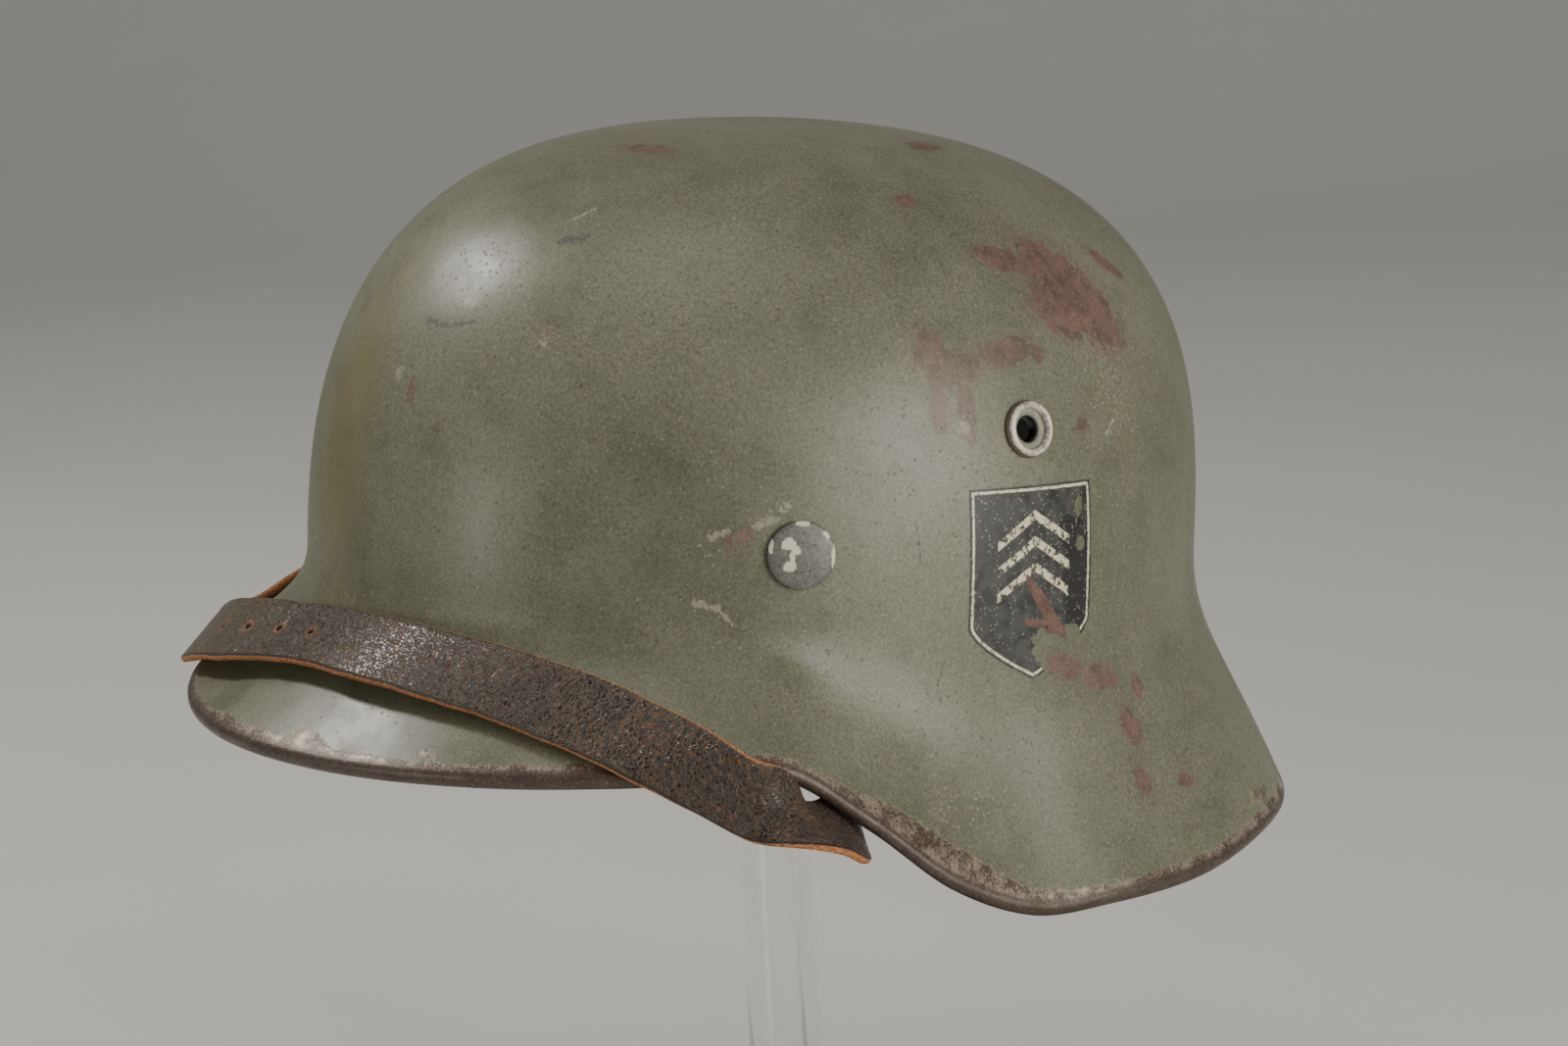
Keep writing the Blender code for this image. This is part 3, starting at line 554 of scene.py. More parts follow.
def makeShield():
    # x = s w(y), where w is the half width: full down the sides, then 1 - t^1.5 to the point
    sizes = shieldSizes
    s = np.linspace(-1, 1, sizes["columns"])
    y = np.linspace(0, 1, sizes["rows"]) * sizes["height"]
    t = np.clip((y - sizes["straight"]) / (sizes["height"] - sizes["straight"]), 0, 0.999)
    width = sizes["halfWidth"] * (1 - t ** sizes["bottomPower"])
    x = s[None, :] * width[:, None]
    down = y[:, None] + 0 * x
    station = sizes["station"] + x / sizes["perDegree"]
    rise = sizes["top"] - down - sizes["topFall"] * x / (2 * sizes["halfWidth"])
    points = surfaceAt(station.ravel(), rise.ravel())
    beside = surfaceAt(station.ravel() + 0.05, rise.ravel()) - points
    below = surfaceAt(station.ravel(), rise.ravel() - 0.0001) - points
    out = np.cross(below, beside)
    out /= np.linalg.norm(out, axis=-1, keepdims=True)
    points = points + out * sizes["proud"]
    faces = gridFaces(sizes["rows"], sizes["columns"], around=False)
    shield = meshFrom("shieldDecal", toWorld(points), faces)

    # distance to the outline, from a fine trace of it
    fineY = np.linspace(0, 1, 500) * sizes["height"]
    fineT = np.clip((fineY - sizes["straight"]) / (sizes["height"] - sizes["straight"]), 0, 1)
    fineX = sizes["halfWidth"] * (1 - fineT ** sizes["bottomPower"])
    outline = np.concatenate([np.stack([fineX, fineY], axis=-1), np.stack([-fineX, fineY], axis=-1)])
    flat = np.stack([x.ravel(), down.ravel()], axis=-1)
    away = np.linalg.norm(flat[:, None, :] - outline[None], axis=-1).min(axis=1)
    inset = np.minimum(away, flat[:, 1]) * 1000
    addField(shield, "inset", inset)
    addUv(shield, "shieldWay", flat * 1000)
    for kind in ("lost", "rusty", "black"):
        field = np.full(len(flat), -1.0)
        for mark in shieldWear:
            if mark["kind"] == kind:
                tilt = math.radians(mark["tilt"])
                dx = flat[:, 0] * 1000 - mark["x"]
                dy = flat[:, 1] * 1000 - mark["y"]
                a = (dx * math.cos(tilt) + dy * math.sin(tilt)) / mark["wide"]
                b = (dy * math.cos(tilt) - dx * math.sin(tilt)) / mark["tall"]
                field = np.maximum(field, 1.0 - np.hypot(a, b))
        addField(shield, kind, np.clip(field, -1.0, 1.0))
    return shield


# Chin strap

strapSizes = {
    "width": 0.0185,
    "thickness": 0.0022,
    "end": 0.0060,
    "holeRadius": 0.0009,
    "holePitch": 0.0130,
    "holeStation": 8.0,
    "holeCount": 4,
    "steps": 420,
    "acrossFace": 22,
    "roundEdge": 5,
    "hangerThickness": 0.0015,
    "hangerSetIn": 0.0012,
    "pinHeight": -0.0020,
    "pinRadius": 0.0020,
    "gap": 0.0003,
    "waveHeight": 0.0002,     # how uneven the cut edges are
}

# the strap over the visor: out and up from the rim as shares of its width, lean in degrees
strapFront = rowsOf("station out up lean", [
    (-42, 0.02, 0.10, 34.0), (-25, -0.20, 0.50, 38.0), (-10, -0.57, 1.00, 42.0),
    (5, -1.05, 1.26, 50.0), (20, -1.05, 1.31, 50.0), (35, -0.91, 1.13, 42.0),
    (48, -0.46, 0.82, 33.0),
])

# the strap at each side, where it drops past the rim, turns and goes up inside
strapSide = rowsOf("station out up lean turn", [
    (58.0, -0.06, 0.36, 21.0, 0.0), (66.0, 0.27, -0.22, -5.0, -6.0),
    (70.5, 0.36, -0.38, 39.0, 10.0), (74.0, 0.23, -0.41, 58.0, 26.0),
    (77.0, -0.15, -0.32, 38.0, 27.0), (79.4, -0.66, -0.04, -3.0, 18.0),
    (79.6, -1.10, 0.27, -44.0, 24.0), (77.2, -1.40, 0.61, -81.0, 40.0),
])


def hangerFrame(sign):
    # frame of the hidden hanger in the helmet's frame: +Z points out level, +Y is up
    station = sign * rivetSizes["places"][0]["station"]
    point, outward = waistAt(station)
    out = Vector((outward[0], outward[1], 0.0))
    up = Vector((0.0, 0.0, 1.0))
    setIn = shellSizes["wall"] + strapSizes["hangerSetIn"]
    place = Vector((point[0], point[1], 0.0)) - out * setIn
    return Matrix.Translation(place) @ Matrix((up.cross(out), up, out)).transposed().to_4x4()


def strapSections():
    # middle = rim + width x (out, up); across = lean and turn of the upright direction
    def placed(row, station, turn):
        point, outward = waistAt(station)
        out = np.array([*outward, 0.0])
        up = np.array([0.0, 0.0, 1.0])
        forward = -np.sign(station) * np.cross(up, out)
        reach = skirtAt("reach", np.array([station]), shellSizes["skirtReach"])[0]
        drop = skirtAt("drop", np.array([station]), shellSizes["skirtDrop"])[0]
        rim = np.array([*(point + outward * reach), -drop])
        middle = rim + strapSizes["width"] * (row["out"] * out + row["up"] * up)
        lean = math.radians(row["lean"])
        upright = math.cos(lean) * up - math.sin(lean) * out
        return middle, math.cos(turn) * upright + math.sin(turn) * forward

    def atHanger(sign, height):
        matrix = hangerFrame(sign)
        depth = strapSizes["hangerThickness"] + strapSizes["gap"] + strapSizes["thickness"] / 2
        middle = matrix @ Vector((0.0, height, -depth))
        return np.array(middle), np.array(matrix.to_3x3() @ Vector((-sign, 0.0, 0.0)))

    def side(sign):
        pin = strapSizes["pinHeight"]
        ends = [atHanger(sign, pin + step * strapSizes["end"]) for step in (1, 0, -1)]
        rows = [placed(row, sign * row["station"], math.radians(row["turn"]))
                for row in reversed(strapSide)]
        return ends + rows

    front = [placed(row, row["station"], 0.0) for row in reversed(strapFront)]
    return side(1.0) + front + side(-1.0)[::-1]


def strapPath(steps):
    # a cubic through the sections, resampled to even steps, with its across direction squared
    sections = strapSections()
    middle = np.array([s[0] for s in sections])
    across = np.array([s[1] for s in sections])
    knots = np.concatenate([[0.0], np.cumsum(np.linalg.norm(np.diff(middle, axis=0), axis=1))])
    fine = np.linspace(0.0, knots[-1], 705)
    points = smoothThrough(knots, middle, fine)
    along = np.concatenate([[0.0], np.cumsum(np.linalg.norm(np.diff(points, axis=0), axis=1))])
    even = np.interp(np.linspace(0.0, along[-1], steps + 1), along, fine)
    points = smoothThrough(knots, middle, even)
    across = smoothThrough(knots, across, even)
    heading = np.gradient(points, axis=0)
    heading /= np.linalg.norm(heading, axis=1, keepdims=True)
    across -= heading * np.sum(across * heading, axis=1, keepdims=True)
    across /= np.linalg.norm(across, axis=1, keepdims=True)
    return points, across, heading, np.linspace(0.0, along[-1], steps + 1)


def makeStrap():
    # a flat band with rounded edges carried along the path; its edges waver by a few sines
    sizes = strapSizes
    points, across, heading, along = strapPath(sizes["steps"])
    faceOut = np.cross(across, heading)
    half = sizes["width"] / 2
    thick = sizes["thickness"] / 2
    round_ = thick * 0.85
    flat = np.linspace(-1, 1, sizes["acrossFace"]) * (half - round_)
    bend = np.linspace(-math.pi / 2, math.pi / 2, sizes["roundEdge"] + 2)[1:-1]
    upper = np.stack([flat, np.full_like(flat, thick)], axis=-1)
    right = np.stack([half - round_ + round_ * np.cos(bend[::-1]), thick * np.sin(bend[::-1])], axis=-1)
    lower = np.stack([flat[::-1], np.full_like(flat, -thick)], axis=-1)
    left = np.stack([-half + round_ - round_ * np.cos(bend), thick * np.sin(bend)], axis=-1)
    ring = np.concatenate([upper, right, lower, left])
    count = len(ring)

    def waver(distance, phase):
        return (np.sin(distance * 95 + phase) + 0.6 * np.sin(distance * 231 + 2 * phase)
                + 0.35 * np.sin(distance * 517 + 3 * phase)) * sizes["waveHeight"]

    wave = np.where(ring[:, 0] > 0, 1.0, -1.0)[None, :] * (np.abs(ring[:, 0]) / half)[None, :] ** 4
    shift = np.where(ring[None, :, 0] > 0, waver(along, 0.4)[:, None], waver(along, 2.1)[:, None])
    x = ring[None, :, 0] + wave * shift
    z = ring[None, :, 1] + 0 * x
    body = points[:, None, :] + across[:, None, :] * x[..., None] + faceOut[:, None, :] * z[..., None]
    total = len(points)
    allPoints = np.concatenate([body.reshape(-1, 3), points[:1], points[-1:]])
    j = np.arange(count)
    k = (j + 1) % count
    last = (total - 1) * count
    capA = np.stack([0 * j + total * count, k, j], axis=-1)
    capB = np.stack([0 * j + total * count + 1, last + j, last + k], axis=-1)
    strap = meshFrom("chinStrap", toWorld(allPoints), [gridFaces(total, count)[:, ::-1], capB, capA])
    strap.data.set_sharp_from_angle(angle=math.radians(50))

    step = np.linalg.norm(np.diff(ring, axis=0, append=ring[:1]), axis=-1)
    roundWay = np.concatenate([[0.0], np.cumsum(step)[:-1]])
    way = np.stack([along[:, None] + 0 * x, roundWay[None, :] + 0 * x], axis=-1).reshape(-1, 2)
    way = np.concatenate([way, [[along[0], 0.0], [along[-1], 0.0]]])
    addUv(strap, "strapWay", way)
    # 0 on the grain face, 1 on the cut edges and the flesh face
    depth = np.clip((thick * 0.93 - ring[:, 1]) / (thick * 0.35), 0.0, 1.0)
    raw = np.concatenate([np.tile(depth, total), [1.0, 1.0]])
    addField(strap, "raw", raw)
    station = np.degrees(np.arctan2(points[:, 0] / shellSizes["waistSide"],
                                    -points[:, 1] / shellSizes["waistFront"]))
    addField(strap, "station", np.concatenate([np.repeat(station, count), station[[0, -1]]]) / 100)

    first = along[int(np.argmin(np.abs(station - sizes["holeStation"])))]
    holes = [first + i * sizes["holePitch"] for i in range(sizes["holeCount"])]
    near = np.full(along.shape + (count,), 1.0)
    cutters = []
    for index, place in enumerate(holes):
        near = np.minimum(near, np.hypot(along[:, None] - place, x))
        i = int(np.argmin(np.abs(along - place)))
        turn = Matrix((Vector(across[i]), Vector(heading[i]), Vector(faceOut[i]))).transposed()
        middle = Vector([np.interp(place, along, points[:, n]) for n in range(3)])
        matrix = helmetToWorld() @ Matrix.Translation(middle) @ turn.to_4x4()
        profile = [(sizes["holeRadius"], 0.006), (sizes["holeRadius"], -0.006)]
        cutters.append(turnedPiece(f"strapHole_{index}", profile, 16, matrix))
    for sign in (1.0, -1.0):
        pinPlace = Matrix.Translation((0, sizes["pinHeight"], -0.0029))
        matrix = helmetToWorld() @ hangerFrame(sign) @ pinPlace
        radius = sizes["pinRadius"] + sizes["gap"]
        cutters.append(turnedPiece("pinHole", [(radius, 0.006), (radius, -0.006)], 24, matrix))
    halo = np.clip(1.0 - near / 0.0042, 0.0, 1.0).ravel()
    addField(strap, "halo", np.concatenate([halo, [0.0, 0.0]]))
    return strap, cutters


# Stand

standSizes = {
    "baseRadius": 0.080,
    "baseThickness": 0.010,
    "baseEdge": 0.0012,
    "socketDepth": 0.006,
    "postRadius": 0.0100,
    "boreRadius": 0.0040,
    "capRadius": 0.030,
    "capEdge": 0.0050,
    "capDome": 0.150,
    "spigot": 0.014,
    "gap": 0.0003,
    "steps": 128,
}


def makeStand():
    # three turned pieces; the cap's dome is a sphere's top, z = top - (R - sqrt(R^2 - r^2))
    sizes = standSizes
    gap = sizes["gap"]
    here = Matrix.Identity(4)
    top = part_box("stand_cap")[1].z
    drop = [(r, top - (sizes["capDome"] - math.sqrt(sizes["capDome"]**2 - r**2)))
            for r in np.linspace(0.001, sizes["capRadius"] - 0.0006, 16)]
    under = drop[-1][1] - sizes["capEdge"]
    low = under - sizes["spigot"]
    bore = sizes["boreRadius"]
    cap = turnedPiece("standCap", drop + [(sizes["capRadius"], drop[-1][1] - 0.0006),
                                          (sizes["capRadius"], under + 0.0005),
                                          (sizes["capRadius"] - 0.0005, under),
                                          (bore - gap, under), (bore - gap, low)],
                      sizes["steps"], here)
    floor = sizes["baseThickness"] - sizes["socketDepth"]
    high = under - gap
    post = turnedPiece("standPost", [(bore, high), (sizes["postRadius"] - 0.0003, high),
                                     (sizes["postRadius"], high - 0.0003),
                                     (sizes["postRadius"], floor + gap),
                                     (bore, floor + gap)], sizes["steps"], here, closed=True)
    edge = sizes["baseEdge"]
    socket = sizes["postRadius"] + gap
    base = turnedPiece("standBase", [(0.001, floor), (socket, floor),
                                     (socket, sizes["baseThickness"]),
                                     (sizes["baseRadius"] - edge, sizes["baseThickness"]),
                                     (sizes["baseRadius"], sizes["baseThickness"] - edge),
                                     (sizes["baseRadius"], 0.0), (0.001, 0.0)],
                       sizes["steps"], here)
    return base, post, cap


# Shader helpers

def addNode(tree, kind, settings=None, inputs=None):
    node = tree.nodes.new("ShaderNode" + kind)
    for name, value in (settings or {}).items():
        setattr(node, name, value)
    for name, value in (inputs or {}).items():
        plug(tree, node.inputs[name], value)
    return node


def plug(tree, socket, value):
    # a socket is linked, a plain value is set on the input
    if isinstance(value, bpy.types.NodeSocket):
        tree.links.new(value, socket)
    elif isinstance(value, tuple) and socket.type == "RGBA" and len(value) == 3:
        socket.default_value = (*value, 1.0)
    else:
        socket.default_value = value


def calc(tree, operation, a, b=0.0, c=0.0):
    return addNode(tree, "Math", {"operation": operation}, {0: a, 1: b, 2: c}).outputs[0]


def times(tree, a, b):
    return calc(tree, "MULTIPLY", a, b)


def plus(tree, a, b):
    return calc(tree, "ADD", a, b)


def minus(tree, a, b):
    return calc(tree, "SUBTRACT", a, b)


def mixValue(tree, factor, a, b):
    return addNode(tree, "Mix", None, {0: factor, 2: a, 3: b}).outputs[0]


def greyOf(tree, value):
    return addNode(tree, "CombineColor", None, {0: value, 1: value, 2: value}).outputs[0]


def calcVector(tree, operation, a, b=(0.0, 0.0, 0.0)):
    return addNode(tree, "VectorMath", {"operation": operation}, {0: a, 1: b})


def blend(tree, factor, a, b, kind="MIX"):
    settings = {"data_type": "RGBA", "blend_type": kind}
    return addNode(tree, "Mix", settings, {0: factor, 6: a, 7: b}).outputs[2]


def between(tree, value, low, high, toLow=0.0, toHigh=1.0):
    settings = {"interpolation_type": "SMOOTHSTEP"}
    values = {0: value, 1: low, 2: high, 3: toLow, 4: toHigh}
    return addNode(tree, "MapRange", settings, values).outputs[0]


def noiseOf(tree, vector, scale, detail=3.0, roughness=0.55, distortion=0.0):
    inputs = {"Vector": vector, "Scale": scale, "Detail": detail, "Roughness": roughness,
              "Distortion": distortion}
    return addNode(tree, "TexNoise", None, inputs).outputs[0]


def cellsOf(tree, vector, scale, feature="F1", randomness=1.0):
    inputs = {"Vector": vector, "Scale": scale, "Randomness": randomness}
    return addNode(tree, "TexVoronoi", {"feature": feature}, inputs)


def fieldOf(tree, name):
    return addNode(tree, "Attribute", {"attribute_name": name}).outputs["Fac"]


def newGroup(name, inputs, outputs):
    # inputs and outputs are lists of (socket name, socket kind, start value)
    group = bpy.data.node_groups.new(name, "ShaderNodeTree")
    for label, kind, value in inputs:
        made = group.interface.new_socket(label, in_out="INPUT", socket_type="NodeSocket" + kind)
        if value is not None:
            made.default_value = value
    for label, kind in outputs:
        group.interface.new_socket(label, in_out="OUTPUT", socket_type="NodeSocket" + kind)
    source = group.nodes.new("NodeGroupInput").outputs
    result = group.nodes.new("NodeGroupOutput").inputs
    return group, source, result


def useGroup(tree, group, inputs):
    node = tree.nodes.new("ShaderNodeGroup")
    node.node_tree = group
    for name, value in inputs.items():
        plug(tree, node.inputs[name], value)
    return node.outputs


def speckMask(tree, specks, vector, scale, cover, size):
    # dots of one scale on a share of the cells
    inputs = {"Vector": vector, "Scale": scale, "Cover": cover, "Size": size}
    return useGroup(tree, specks, inputs)["Mask"]


def tornMask(tree, ragged, vector, field, scale, spread, softness):
    # a mask with a torn edge along the field's zero line
    inputs = {"Vector": vector, "Field": field, "Scale": scale, "Spread": spread,
              "Softness": softness}
    return useGroup(tree, ragged, inputs)["Mask"]


def newFinish(name):
    made = bpy.data.materials.new(name)
    made.use_nodes = True
    tree = made.node_tree
    return made, tree, tree.nodes["Principled BSDF"]


def addBump(tree, shader, height, strength, distance):
    bump = addNode(tree, "Bump", None, {"Height": height, "Strength": strength, "Distance": distance})
    plug(tree, shader.inputs["Normal"], bump.outputs[0])


# Shared effects

def raggedMask():
    # smooth step of the field plus noise: the field's zero line gets a torn edge
    group, source, result = newGroup(
        "raggedMask",
        [("Vector", "Vector", None), ("Field", "Float", 0.0), ("Scale", "Float", 500.0),
         ("Spread", "Float", 0.8), ("Softness", "Float", 0.06)],
        [("Mask", "Float")])
    coarse = noiseOf(group, source["Vector"], source["Scale"], 6.0, 0.68)
    centred = times(group, minus(group, coarse, 0.5), source["Spread"])
    total = plus(group, source["Field"], centred)
    low = times(group, source["Softness"], -1.0)
    plug(group, result["Mask"], between(group, total, low, source["Softness"]))
    return group


def paintSpecks():
    # cells whose random value is high show a small dot of their own size
    group, source, result = newGroup(
        "paintSpecks",
        [("Vector", "Vector", None), ("Scale", "Float", 400.0), ("Cover", "Float", 0.3),
         ("Size", "Float", 0.3)],
        [("Mask", "Float")])
    warp = noiseOf(group, source["Vector"], times(group, source["Scale"], 2.2), 2.0)
    cells = cellsOf(group, source["Vector"], source["Scale"])
    pick = addNode(group, "SeparateColor", None, {0: cells.outputs["Color"]})
    chance = calc(group, "GREATER_THAN", source["Cover"], pick.outputs[0])
    size = times(group, source["Size"], plus(group, pick.outputs[1], 0.35))
    edge = plus(group, cells.outputs["Distance"], times(group, minus(group, warp, 0.5), 0.5))
    dot = between(group, edge, times(group, size, 0.55), size, 1.0, 0.0)
    plug(group, result["Mask"], times(group, dot, chance))
    return group


def agedPaint(specks):
    # large fading, hand-sized mottling, fine grain, and dots of dirt and dust
    group, source, result = newGroup(
        "agedPaint",
        [("Vector", "Vector", None), ("Color", "Color", (0.2, 0.2, 0.15, 1)),
         ("Faded", "Color", (0.25, 0.25, 0.2, 1)), ("Dirt", "Color", (0.07, 0.05, 0.04, 1)),
         ("Dust", "Color", (0.42, 0.40, 0.32, 1)), ("Dirtiness", "Float", 0.35)],
        [("Color", "Color"), ("Roughness", "Float"), ("Height", "Float")])
    vector = source["Vector"]
    large = noiseOf(group, vector, 13.0, 4.0, 0.55, 0.4)
    middle = noiseOf(group, vector, 75.0, 6.0, 0.62)
    fine = noiseOf(group, vector, 1300.0, 3.0, 0.6)
    color = blend(group, between(group, large, 0.36, 0.66), source["Color"], source["Faded"])
    color = blend(group, between(group, middle, 0.42, 0.68, 0.0, 0.40), color, source["Faded"])
    color = blend(group, between(group, middle, 0.46, 0.30, 0.0, 0.30), color,
                  blend(group, 1.0, source["Color"], (0.72, 0.70, 0.66), "MULTIPLY"))
    grain = between(group, fine, 0.28, 0.72, 0.76, 1.26)
    color = blend(group, 1.0, color, greyOf(group, grain), "MULTIPLY")
    zone = between(group, noiseOf(group, vector, 24.0, 3.0), 0.40, 0.66)
    dirtCover = times(group, source["Dirtiness"], plus(group, zone, 0.25))
    dirt = speckMask(group, specks, vector, 880.0, dirtCover, 0.38)
    dust = speckMask(group, specks, vector, 1250.0, 0.22, 0.34)
    color = blend(group, times(group, dirt, 0.46), color, source["Dirt"])
    color = blend(group, times(group, dust, 0.34), color, source["Dust"])
    plug(group, result["Color"], color)
    rough = plus(group, between(group, middle, 0.3, 0.7, 0.34, 0.45), times(group, dirt, 0.15))
    plug(group, result["Roughness"], rough)
    bumps = plus(group, times(group, middle, 0.5), times(group, fine, 0.16))
    plug(group, result["Height"], plus(group, bumps, times(group, dust, 0.20)))
    return group


def wornSteel():
    # dark oxide with paler rubbed metal where the noise is high, and fine pits
    group, source, result = newGroup(
        "wornSteel",
        [("Vector", "Vector", None), ("Dark", "Color", (0.06, 0.045, 0.04, 1)),
         ("Rubbed", "Color", (0.3, 0.26, 0.23, 1)), ("Rust", "Color", (0.16, 0.07, 0.04, 1)),
         ("Rubbing", "Float", 0.5)],
        [("Color", "Color"), ("Roughness", "Float"), ("Height", "Float")])
    vector = source["Vector"]
    middle = noiseOf(group, vector, 160.0, 5.0, 0.65)
    fine = noiseOf(group, vector, 1500.0, 4.0, 0.7)
    mixed = plus(group, times(group, middle, 0.5), times(group, fine, 0.5))
    start = minus(group, 0.78, times(group, source["Rubbing"], 0.5))
    rubbed = between(group, mixed, start, plus(group, start, 0.16))
    color = blend(group, rubbed, source["Dark"], source["Rubbed"])
    rusty = between(group, noiseOf(group, vector, 330.0, 5.0, 0.7), 0.54, 0.68)
    color = blend(group, times(group, rusty, 0.6), color, source["Rust"])
    plug(group, result["Color"], color)
    plug(group, result["Roughness"], between(group, mixed, 0.35, 0.65, 0.46, 0.30))
    plug(group, result["Height"], plus(group, fine, middle))
    return group


def rustCoat():
    # brown red scale of three tones with a rough, grainy surface
    group, source, result = newGroup(
        "rustCoat",
        [("Vector", "Vector", None), ("Deep", "Color", (0.10, 0.045, 0.035, 1)),
         ("Main", "Color", (0.19, 0.085, 0.065, 1)), ("Pale", "Color", (0.30, 0.20, 0.16, 1))],
        [("Color", "Color"), ("Height", "Float")])
    vector = source["Vector"]
    middle = noiseOf(group, vector, 210.0, 5.0, 0.65)
    fine = noiseOf(group, vector, 1500.0, 3.0, 0.7)
    color = blend(group, between(group, middle, 0.40, 0.64), source["Main"], source["Deep"])
    color = blend(group, between(group, fine, 0.54, 0.70, 0.0, 0.8), color, source["Pale"])
    color = blend(group, between(group, fine, 0.44, 0.30, 0.0, 0.7), color, source["Deep"])
    plug(group, result["Color"], color)
    plug(group, result["Height"], plus(group, fine, middle))
    return group


def strokeMark():
    # distance from a point to a line between two places, against a ragged width
    group, source, result = newGroup(
        "strokeMark",
        [("Vector", "Vector", None), ("Start", "Vector", None), ("End", "Vector", None),
         ("Width", "Float", 0.001), ("Ragged", "Float", 0.5)],
        [("Mask", "Float")])
    span = calcVector(group, "SUBTRACT", source["End"], source["Start"]).outputs[0]
    away = calcVector(group, "SUBTRACT", source["Vector"], source["Start"]).outputs[0]
    length = calcVector(group, "DOT_PRODUCT", span, span).outputs["Value"]
    share = calc(group, "DIVIDE", calcVector(group, "DOT_PRODUCT", away, span).outputs["Value"], length)
    share = addNode(group, "Clamp", None, {0: share, 1: 0.0, 2: 1.0}).outputs[0]
    scaled = addNode(group, "VectorMath", {"operation": "SCALE"}, {0: span, 3: share}).outputs[0]
    gone = calcVector(group, "SUBTRACT", away, scaled).outputs[0]
    distance = calcVector(group, "LENGTH", gone).outputs["Value"]
    wide = times(group, source["Width"], between(group, source["Ragged"], 0.36, 0.60, 0.0, 1.5))
    inside = minus(group, wide, distance)
    soft = times(group, source["Width"], 0.16)
    plug(group, result["Mask"], between(group, inside, 0.0, soft))
    return group


# Finishes

shellPaint = {
    "color": (0.114, 0.119, 0.074),
    "faded": (0.162, 0.164, 0.110),
    "dirt": (0.080, 0.054, 0.036),
    "dust": (0.40, 0.38, 0.30),
    "primer": (0.42, 0.39, 0.29),
    "stain": (0.160, 0.140, 0.052),
    "steelDark": (0.066, 0.044, 0.034),
    "steelRubbed": (0.33, 0.26, 0.20),
    "steelRust": (0.20, 0.095, 0.055),
    "rustDeep": (0.085, 0.042, 0.033),
    "rustMain": (0.158, 0.078, 0.060),
    "rustPale": (0.260, 0.190, 0.150),
    "darkScratch": (0.045, 0.060, 0.055),
    # near black for the inner wall: painted shade
    "inner": (0.012, 0.010, 0.008),
}

# single marks on the shell: stations and rises of both ends, width in mm
shellMarks = rowsOf("kind from to width", [
    ("pale", (37.6, 63.4), (38.0, 62.8), 1.2), ("rust", (37.6, 63.4), (38.0, 62.8), 0.8),
    ("pale", (37.4, 60.8), (37.7, 60.5), 1.0), ("pale", (13.0, 50.4), (13.1, 49.4), 1.2),
    ("rust", (16.6, 48.4), (16.9, 45.4), 1.4), ("pale", (21.2, 67.4), (23.4, 68.2), 1.3),
    ("dark", (15.0, 62.6), (19.5, 61.8), 0.8), ("dark", (19.5, 61.8), (24.8, 63.9), 0.6),
    ("dark", (33.8, 82.5), (37.0, 83.4), 1.3), ("pale", (32.0, 86.4), (35.8, 89.4), 0.4),
    ("pale", (62.6, 19.2), (64.6, 20.3), 0.9), ("rust", (64.8, 18.4), (67.2, 20.2), 1.3),
    ("pale", (65.6, 19.0), (66.6, 19.8), 0.9), ("pale", (68.0, 22.0), (70.2, 23.4), 0.9),
    ("pale", (71.0, 25.4), (71.8, 26.4), 0.8), ("pale", (61.0, 3.8), (63.6, 2.4), 0.8),
    ("pale", (63.6, 2.4), (65.4, -1.0), 0.5), ("pale", (94.8, 43.2), (95.3, 42.4), 1.0),
    ("dark", (92.0, -12.0), (91.0, -18.5), 0.35), ("dark", (88.0, 22.0), (88.6, 12.0), 0.30),
    ("pale", (118.4, 37.0), (120.4, 40.0), 0.5),
])


